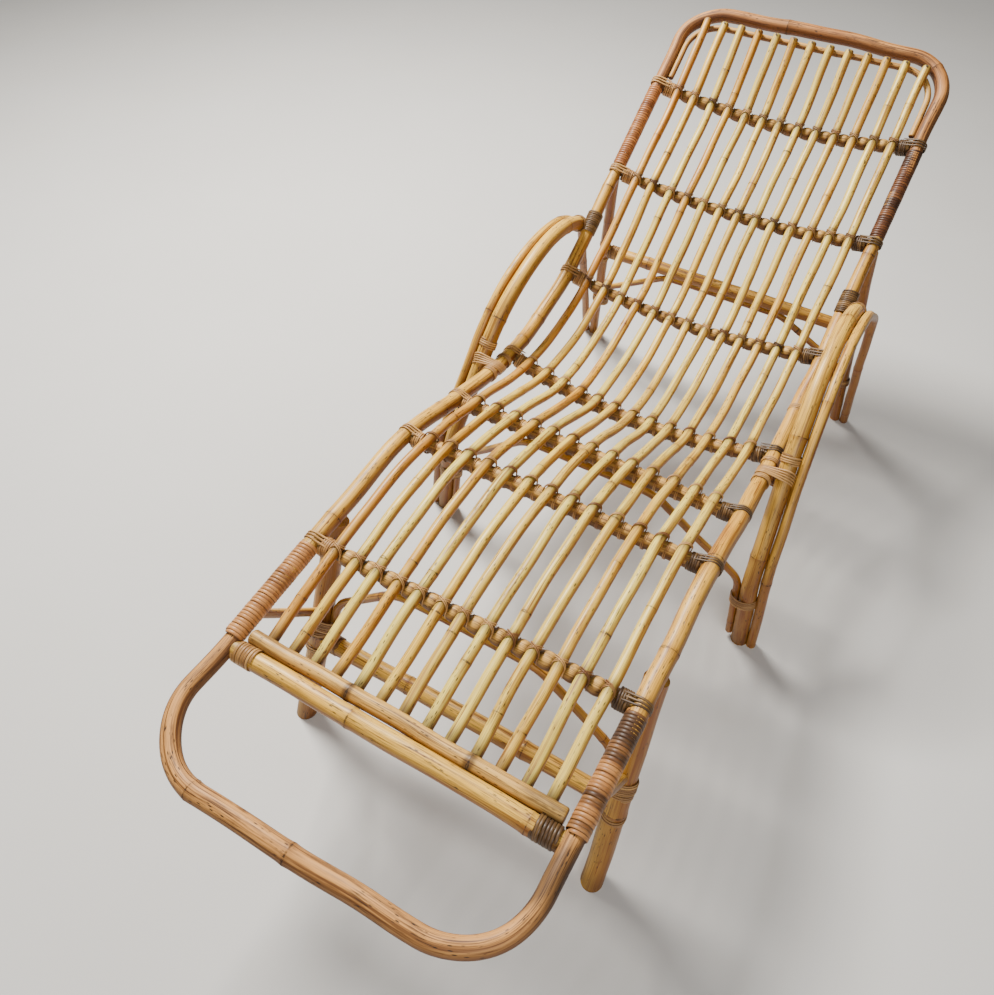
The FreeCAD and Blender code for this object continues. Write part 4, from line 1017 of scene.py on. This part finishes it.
def ring_round(sections, room):
    """Middle and half axes of an ellipse round sections, each with its place, half width and half height."""
    least, most = min(s[0] - s[1] for s in sections), max(s[0] + s[1] for s in sections)
    middle, long_half = (least + most) / 2, (most - least) / 2 + room + RING_ROOM
    turn = np.radians(np.arange(1, 180))
    short_half = 0.0
    for place, half_across, half_up in sections:
        out = (place - middle + (half_across + room) * np.cos(turn)) / long_half
        inside = np.abs(out) < 1
        rise = (half_up + room) * np.sin(turn[inside]) / np.sqrt(1 - out[inside] ** 2)
        short_half = max(short_half, rise.max())
    return middle, long_half, short_half


def peel(node, strands, width, thickness, finish, sides=8):
    """Finished strands that take the place of a CAD node."""
    piece = grown("peel_" + node, strands, peel_tree, peel_inputs, {
        "Sides": sides, "Width": width, "Thickness": thickness, "Material": finish.material})
    hand_in(piece, node)


head_peel = Finish(peel_material(
    "head_peel", tone(206, 134, 70), tone(146, 84, 38), tone(30, 14, 6), 0.26), "binding_peel")
foot_peel = Finish(peel_material(
    "foot_peel", tone(206, 142, 78), tone(150, 92, 44), tone(28, 16, 9), 0.24), "binding_peel")
binding_peel = Finish(peel_material(
    "binding_peel", tone(206, 156, 90), tone(146, 96, 46), tone(28, 17, 9), 0.24), "binding_peel")
thin_peel = Finish(peel_material(
    "thin_peel", tone(214, 164, 98), tone(136, 86, 42), tone(22, 13, 7), 0.2), "thin_peel")


def bands(*marks):
    """Darkening along a wrap, from marks of share, reach and amount."""
    return lambda share: sum(amount * hump(share, place, reach) for place, reach, amount in marks)


# Wraps: node, side, ends down the frame, turns, finish, radius under it, tint, age, and dark or pale bands;
# on the right head wrap the age and dark band are partly painted shade

WRAP_THICK, WRAP_OVERLAP = 0.0015, 1.04
BIND_WIDE, BIND_THICK, BIND_PITCH = 0.0034, 0.0018, 0.0035
WRAPS = (
    ("left_head_wrap", -1, head_at, upper_back_at, 38, head_peel, 0.0114, 0.05, 0.14,
     bands((0.03, 0.05, -0.6), (0.5, 0.2, 0.15))),
    # Right head wrap: darker, redder peel, with painted shade added through its higher age and dark band
    ("right_head_wrap", 1, head_at, upper_back_at, 38, head_peel, 0.0112, 0.25, 0.45,
     bands((0.04, 0.10, 0.7), (0.62, 0.08, 0.3))),
    ("left_foot_wrap", -1, calf_at, CROSSBAR_AT, 31, foot_peel, 0.0128, -0.05, 0.10,
     bands((0.4, 0.06, 0.25))),
    ("right_foot_wrap", 1, calf_at, CROSSBAR_AT, 31, foot_peel, 0.0128, -0.05, 0.16,
     bands((0.06, 0.05, 0.5), (0.20, 0.09, 0.75), (0.38, 0.05, 0.4), (0.72, 0.07, 0.35), (0.95, 0.05, 0.3))),
)


def on_rail(place, side, turns, pitch, seed, radius=RAIL_R, thickness=BIND_THICK, **look):
    """A strand wound round a side rail at a place down the frame."""
    middle = station(place, 0, side * HALF_WIDTH)
    return wound_round(middle, run_at(place), radius, thickness, turns, pitch, seed, **look)


for node, side, first, last, turns, finish, under_wrap, tint, age, stain in WRAPS:
    pitch = (last - first - 2 * WRAP_MARGIN) / turns
    strand = on_rail((first + last) / 2, side, turns, pitch, 200 + side + turns, under_wrap, WRAP_THICK,
                     tint=tint, age=age, stain=stain)
    peel(node, [strand], pitch * WRAP_OVERLAP, WRAP_THICK, finish)

# Bindings of the rung ends, of the bars and of the arches

RUNG_TURNS, RUNG_CLEAR, TIE_SLIDES = 5, 0.0012, (-0.0038, -0.0003, 0.0034)
TIE_ARC, TIE_STEPS = (62, 298), 26
TIE_END, TIE_KNEE, TIE_DIP = 0.027, 0.020, 0.0012
BAR_TURNS, LEG_TURNS, ARCH_TURNS = 6, 3, 6
BAR_CLEAR, BAR_ROOM, BAR_DARKER = 0.002, 0.002, 0.4
LEG_TIE_OFF, LEG_TIE_TILT = 0.006, 0.004
CROSSBAR_TURNS, CROSSBAR_PITCH, CROSSBAR_CLEAR = 7, 0.0042, 0.001


def rail_tie(rung, side, slide, seed):
    """A strand from the top of a rung's end, over its rail and back under the rung."""
    inward, lift, run = across(-side), lift_at(rung.place), run_at(rung.place)
    reach = RAIL_R + BIND_THICK / 2
    turn = np.radians(np.linspace(*TIE_ARC, TIE_STEPS))
    over_rail = [(reach * math.cos(t), reach * math.sin(t)) for t in turn]
    top, low = rung.girth - RUNG_DROP + BIND_THICK / 2, -rung.girth - RUNG_DROP - BIND_THICK / 2
    flat = np.array([(TIE_END, top - TIE_DIP), (TIE_KNEE, top)] + over_rail
                    + [(TIE_KNEE, low), (TIE_END, low + TIE_DIP)])
    lean = np.linspace(1.6, 0.4, len(flat)) * slide
    outward = inward * flat[:, :1] + lift * flat[:, 1:]
    points = station(rung.place, 0, side * HALF_WIDTH) + outward + run * lean[:, None]
    outward[:2], outward[-2:] = lift, -lift
    return strand_line(points, outward, -0.1, 0.15 if side < 0 else 0.6, seed)


strands = []
for index, rung in enumerate(RUNGS):
    for hand, side in SIDES:
        x = side * (HALF_WIDTH - RAIL_R - RUNG_CLEAR - RUNG_TURNS / 2 * BIND_PITCH)
        way = unit(rung_point(rung, x + NEAR) - rung_point(rung, x - NEAR))
        seed = 300 + 10 * index + 5 * side
        strands.append(wound_round(rung_point(rung, x), way, rung.girth, BIND_THICK, RUNG_TURNS, BIND_PITCH,
                                   seed, age=0.2 if side < 0 else 0.6))
        strands += [rail_tie(rung, side, slide, seed + number) for number, slide in enumerate(TIE_SLIDES, 1)]
peel("rung_end_bindings", strands, BIND_WIDE, BIND_THICK, binding_peel)


def bar_windings(ends, clear_of, bar_radius, turns, pitch, seed, age):
    """Windings of both ends of a bar, the right one darker."""
    left_end, right_end = ends
    axis = unit(right_end - left_end)
    inset = clear_of + turns * pitch / 2 + BAR_ROOM
    return [wound_round(spot, axis, bar_radius, BIND_THICK, turns, pitch, seed + number,
                        age=age + BAR_DARKER * number)
            for number, spot in enumerate((left_end + axis * inset, right_end - axis * inset))]


crossbar_axis = rail_ends(CROSSBAR_AT, CROSSBAR_DROP, 0.0)
strands = bar_windings(crossbar_axis, RAIL_R + CROSSBAR_CLEAR, CROSSBAR_R, CROSSBAR_TURNS, CROSSBAR_PITCH,
                       400, 0.2)
peel("crossbar_end_bindings", strands, CROSSBAR_PITCH, BIND_THICK, binding_peel)

LEG_BARS = ((back_legs, BACK_BAR_HEIGHT, BACK_LEG_R, BACK_BAR_R, 410),
            (front_legs, STRETCHER_HEIGHT, FRONT_LEG_R, STRETCHER_R, 420))
strands = []
for legs, height, leg_radius, bar_radius, seed in LEG_BARS:
    strands += bar_windings(bar_ends(legs, height, 0), leg_radius + BAR_CLEAR, bar_radius, BAR_TURNS,
                            BIND_PITCH, seed, 0.35)
for legs, height, leg_radius, bar_radius, _ in LEG_BARS:
    for hand, side in SIDES:
        foot, top = legs[hand]
        for above, seed in ((1, 430), (-1, 440)):
            spot = on_leg(legs[hand], height + above * (bar_radius + LEG_TIE_OFF))
            strands.append(wound_round(spot, top - foot, leg_radius, BIND_THICK, LEG_TURNS, BIND_PITCH,
                                       seed + side, age=0.3, tilt=LEG_TIE_TILT * above * side))
peel("leg_bar_bindings", strands, BIND_WIDE, BIND_THICK, binding_peel)

strands = []
for number, arch in enumerate(ARCHES):
    sections = [(0, arch.leg_radius, arch.leg_radius), (beside_leg(arch), ARCH_R, ARCH_R)]
    inward, long_half, short_half = ring_round(sections, BIND_THICK / 2)
    for hand, side in SIDES:
        foot, upper = arch.legs[hand]
        spot = on_leg(arch.legs[hand], arch.bound_at, inward, side)
        strands.append(wound(spot, upper - foot, across(side), long_half, short_half, ARCH_TURNS, BIND_PITCH,
                             450 + 2 * number + side, age=0.3))
peel("arch_bindings", strands, BIND_WIDE, BIND_THICK, binding_peel)

# Bindings of the arms: round arm and rail where they cross, round the rail over the arm's tail,
# and a mending band

CROSSING_STEPS, ARM_SAMPLE, ARM_TINT = 40, 0.004, -0.1
BESIDE_RAIL, ABOVE_CROSSING, BEFORE_TAIL, RAIL_TURNS_OFF = 0.027, 0.034, 0.014, 0.026
places = np.linspace(rung_named["lumbar"].place, seat_at, 2000)
rises = [KNUCKLE_HEIGHT + slope(SHIN_ANGLE) * (spot[1] - seat_y - KNUCKLE_BACK) - spot[2]
         for spot in at(frame_line, places)]
crossing_at = places[np.abs(rises).argmin()]


def crossing_turns(distance, arm_run, side, turns, seed, age):
    """Taut turns round rail and arm together, where they cross at a place down the frame."""
    rail_run = run_at(distance)
    rail_run = rail_run if rail_run @ arm_run > 0 else -rail_run
    half_angle = math.acos(np.clip(rail_run @ arm_run, -1, 1)) / 2
    axis = unit(rail_run + arm_run)
    out, up = across(side), np.cross(axis, across(side))
    spot = station(distance, 0, side * HALF_WIDTH)
    gap = ARM_SPREAD / 2 - spot[2] * arm_slope - HALF_WIDTH
    turn = np.linspace(0, turns, turns * CROSSING_STEPS + 1)
    slide = (turn - turns / 2) * BIND_PITCH
    climb = slide * math.tan(half_angle) * np.sign(up @ (arm_run - rail_run))
    sin, cos = np.sin(2 * math.pi * turn), np.cos(2 * math.pi * turn)
    best = np.full(len(turn), -1.0)
    flat = np.zeros((len(turn), 2))
    for place, rise, radius in ((0.0, -climb, RAIL_R), (gap, climb, ARM_R)):
        wide, tall = radius + BIND_THICK / 2, radius / math.cos(half_angle) + BIND_THICK / 2
        reach = np.sqrt((wide * cos) ** 2 + (tall * sin) ** 2)
        support = place * cos + rise * sin + reach
        touch = np.stack((place + wide ** 2 * cos / reach, rise + tall ** 2 * sin / reach), axis=-1)
        flat[support > best] = touch[support > best]
        best = np.maximum(best, support)
    points = spot + out * flat[:, :1] + up * flat[:, 1:] + axis * slide[:, None]
    outward = out * cos[:, None] + up * sin[:, None]
    return strand_line(points, outward, ARM_TINT, age, seed)


def arm_turns(hand, near, turns, seed, age):
    """Turns round an arm where it passes a point."""
    path = arm_paths[hand]
    index = np.linalg.norm(path - near, axis=1).argmin()
    run = travel(path)[index]
    spots = at(path, np.array((run - ARM_SAMPLE, run, run + ARM_SAMPLE)))
    return wound_round(spots[1], spots[2] - spots[0], ARM_R, BIND_THICK, turns, BIND_PITCH, seed, age=age,
                       tint=ARM_TINT)


strands = []
for hand, side in SIDES:
    strands.append(crossing_turns(crossing_at, heading(SHIN_ANGLE), side, 5, 500 + side, 0.1))
    beside = across(side * (HALF_WIDTH + BESIDE_RAIL))
    over_crossing = station(crossing_at) + beside + heading(SHIN_ANGLE) * ABOVE_CROSSING
    strands.append(arm_turns(hand, over_crossing, 4, 504 + side, 0.25))
    by_tail = station(TAIL_AT) + beside - heading(-TAIL_ANGLE) * BEFORE_TAIL
    strands.append(arm_turns(hand, by_tail, 4, 508 + side, 0.3))
    for place, turns, age in ((TAIL_BINDING_AT, 12, 0.55), (crossing_at - RAIL_TURNS_OFF, 3, 0.15),
                              (crossing_at + RAIL_TURNS_OFF, 3, 0.15)):
        strands.append(on_rail(place, side, turns, BIND_PITCH, 515 + side + turns, tint=ARM_TINT, age=age))
strands.append(on_rail(RAIL_BAND_AT, 1, 4, BIND_PITCH, 520, tint=-0.2))
peel("arm_bindings", strands, BIND_WIDE, BIND_THICK, binding_peel)

# Lashings of the slats

SLAT_HUG, SLAT_HUG_STEPS, SLAT_HUG_SPAN = (-112, 112), 19, 1.95
RUNG_HUG, RUNG_HUG_STEPS, RUNG_HUG_WIDE = (48, 312), 23, 1.02
LASH_WIDE, LASH_THICK, LASH_LAY, LASH_SLIDES = 0.0019, 0.0014, 0.0013, (-0.0013, 0.0013)
BESIDE_SLAT, BESIDE_PITCH, LASH_SMOOTHING = (0.0112, 0.0136), 0.0016, 2


def lashing(rung, rung_axis, slat_axis, slat_way, spread, seed, crossed, slide, age, tint):
    """Two turns that hug a slat and the rung under it, crossed over the slat or both slanted one way."""
    up = unit(slat_axis - rung_axis)
    on = unit(slat_way - up * (up @ slat_way))
    beside = np.cross(on, up)
    over = np.linalg.norm(slat_axis - rung_axis)
    round_slat = np.radians(np.linspace(*SLAT_HUG, SLAT_HUG_STEPS))
    round_rung = np.radians(np.linspace(*RUNG_HUG, RUNG_HUG_STEPS))
    ways = (1, -1) if crossed else (1, 1)
    points, outward = [], []
    for number, way in enumerate(ways):
        room = LASH_LAY * (0.5 + 0.45 * number) + PEEL_GAP
        reach = SLAT_R + room
        for turn in round_slat:
            points.append(on * (spread * turn / SLAT_HUG_SPAN + slide)
                          + beside * (way * reach * math.sin(turn)) + up * (over + reach * math.cos(turn)))
            outward.append(beside * way * math.sin(turn) + up * math.cos(turn))
        reach = rung.girth * (1 - rung.parting) + room
        aside = np.linspace(way, -ways[(number + 1) % 2], len(round_rung)) * (SLAT_R * RUNG_HUG_WIDE)
        for turn, x in zip(round_rung, aside):
            points.append(on * (reach * math.sin(turn) + slide * 0.5) + beside * x
                          + up * (reach * math.cos(turn)))
            outward.append(on * math.sin(turn) + up * math.cos(turn))
    points, outward = np.array(points), np.array(outward)
    for _ in range(LASH_SMOOTHING):
        for row in (points, outward):
            row[1:-1] = (row[:-2] + row[1:-1] * 2 + row[2:]) / 4
    return strand_line(rung_axis + points, outward, tint, age, seed)


for index, rung in enumerate(RUNGS):
    beaded = is_beaded(rung)
    strands = []
    for number, points in enumerate(slat_points):
        crossing = points[index + 1]
        rung_axis = rung_point(rung, crossing[0])
        slat_way = slat_run(number, index + 1)
        seed = 600 + 20 * index + number
        rng = np.random.default_rng(seed)
        spread = rng.uniform(0.0062, 0.0084)
        age = rng.uniform(0.25, 0.55) if beaded and rung.name != "calf" else rng.uniform(0, 0.22)
        tint = rng.uniform(-0.2, 0.2)
        strands += [lashing(rung, rung_axis, crossing, slat_way, spread, seed, beaded, slide, age, tint)
                    for slide in LASH_SLIDES]
        if not beaded:
            strands += [wound_round(rung_point(rung, crossing[0] + off), across(1), rung.girth, LASH_THICK, 1,
                                    BESIDE_PITCH, seed + 7, age=age * 0.5, tint=tint - 0.1)
                        for off in BESIDE_SLAT]
    peel(rung.name + "_lashings", strands, LASH_WIDE, LASH_THICK, thin_peel, sides=6)

# Nails stay as built, in darkened steel

nail_steel, graph = new_material("nail_steel")
where = graph.node("ShaderNodeTexCoord", None, None, "Object")
rust = graph.noise(where, (900, 900, 900), 4.0)
shader = graph.node("ShaderNodeBsdfPrincipled", None, {
    "Base Color": graph.mix(rust.rise(0.45, 0.65), tone(96, 88, 80), tone(84, 50, 30)),
    "Metallic": rust.fall(0.45, 0.65) * 0.8, "Roughness": rust * 0.4 + 0.3,
    "Normal": graph.bump(rust, 0.3, 0.0002)})
graph.node("ShaderNodeOutputMaterial", None, {"Surface": shader})
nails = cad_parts["slat_nails"]
nails.data.materials.clear()
nails.data.materials.append(nail_steel)

# Floor, light and camera

FLOOR_HALF = 6
floor_mesh = bpy.data.meshes.new("floor")
floor_corners = [(x * FLOOR_HALF, y * FLOOR_HALF, 0) for x, y in ((-1, -1), (1, -1), (1, 1), (-1, 1))]
floor_mesh.from_pydata(floor_corners, [], [(0, 1, 2, 3)])
floor = bpy.data.objects.new("floor", floor_mesh)
bpy.context.scene.collection.objects.link(floor)
pale_floor, graph = new_material("pale_floor")
where = graph.node("ShaderNodeTexCoord", None, None, "Object")
cloud = graph.noise(where, (2.2, 2.2, 2.2), 4.0)
floor_colour = graph.mix(cloud, tone(214, 211, 206), tone(222, 220, 216))
finish_material(graph, floor_colour, cloud * 0.1 + 0.75, graph.bump(cloud, 0.05, 0.001), 0.0)
floor_mesh.materials.append(pale_floor)


def stand(holder, right, up, back, place):
    """Put a lamp or camera at a place, turned by its own three directions."""
    holder.matrix_world = Matrix([(right[i], up[i], back[i], place[i]) for i in range(3)] + [(0, 0, 0, 1)])
    bpy.context.scene.collection.objects.link(holder)


def soft_light(name, place, target, width, power, colour):
    lamp = bpy.data.lights.new(name, "AREA")
    lamp.shape = "DISK"
    lamp.size = width
    lamp.energy = power
    lamp.color = colour
    back = unit(point(*place) - point(*target))
    right = unit(np.cross(UP, back))
    stand(bpy.data.objects.new(name, lamp), right, np.cross(back, right), back, place)


soft_light("key", (-1.6, 0.8, 2.7), (0, 0, 0.35), 0.9, 225, (1.0, 0.97, 0.92))
soft_light("fill", (1.6, -2.4, 2.2), (0, 0, 0.3), 2.0, 58, (1.0, 0.98, 0.96))
world = bpy.data.worlds.new("studio")
world.use_nodes = True
world.node_tree.nodes["Background"].inputs["Color"].default_value = (0.9, 0.95, 1.0, 1)
world.node_tree.nodes["Background"].inputs["Strength"].default_value = 0.10
bpy.context.scene.world = world

SENSOR, FOCAL_PIXELS, PHOTO_PIXELS = 36.0, 835.52, 995
CAMERA_RIGHT, CAMERA_UP = (0.86246, 0.50606, 0.00890), (-0.38921, 0.65187, 0.65084)
CAMERA_BACK, CAMERA_PLACE = (0.32356, -0.56479, 0.75916), (0.3229, -0.9453, 1.2961)
camera = bpy.data.cameras.new("photo_camera")
camera.sensor_fit = "VERTICAL"
camera.sensor_height = SENSOR
camera.lens = SENSOR * FOCAL_PIXELS / PHOTO_PIXELS
camera.clip_start = 0.05
viewer = bpy.data.objects.new("photo_camera", camera)
stand(viewer, CAMERA_RIGHT, CAMERA_UP, CAMERA_BACK, CAMERA_PLACE)
bpy.context.scene.camera = viewer
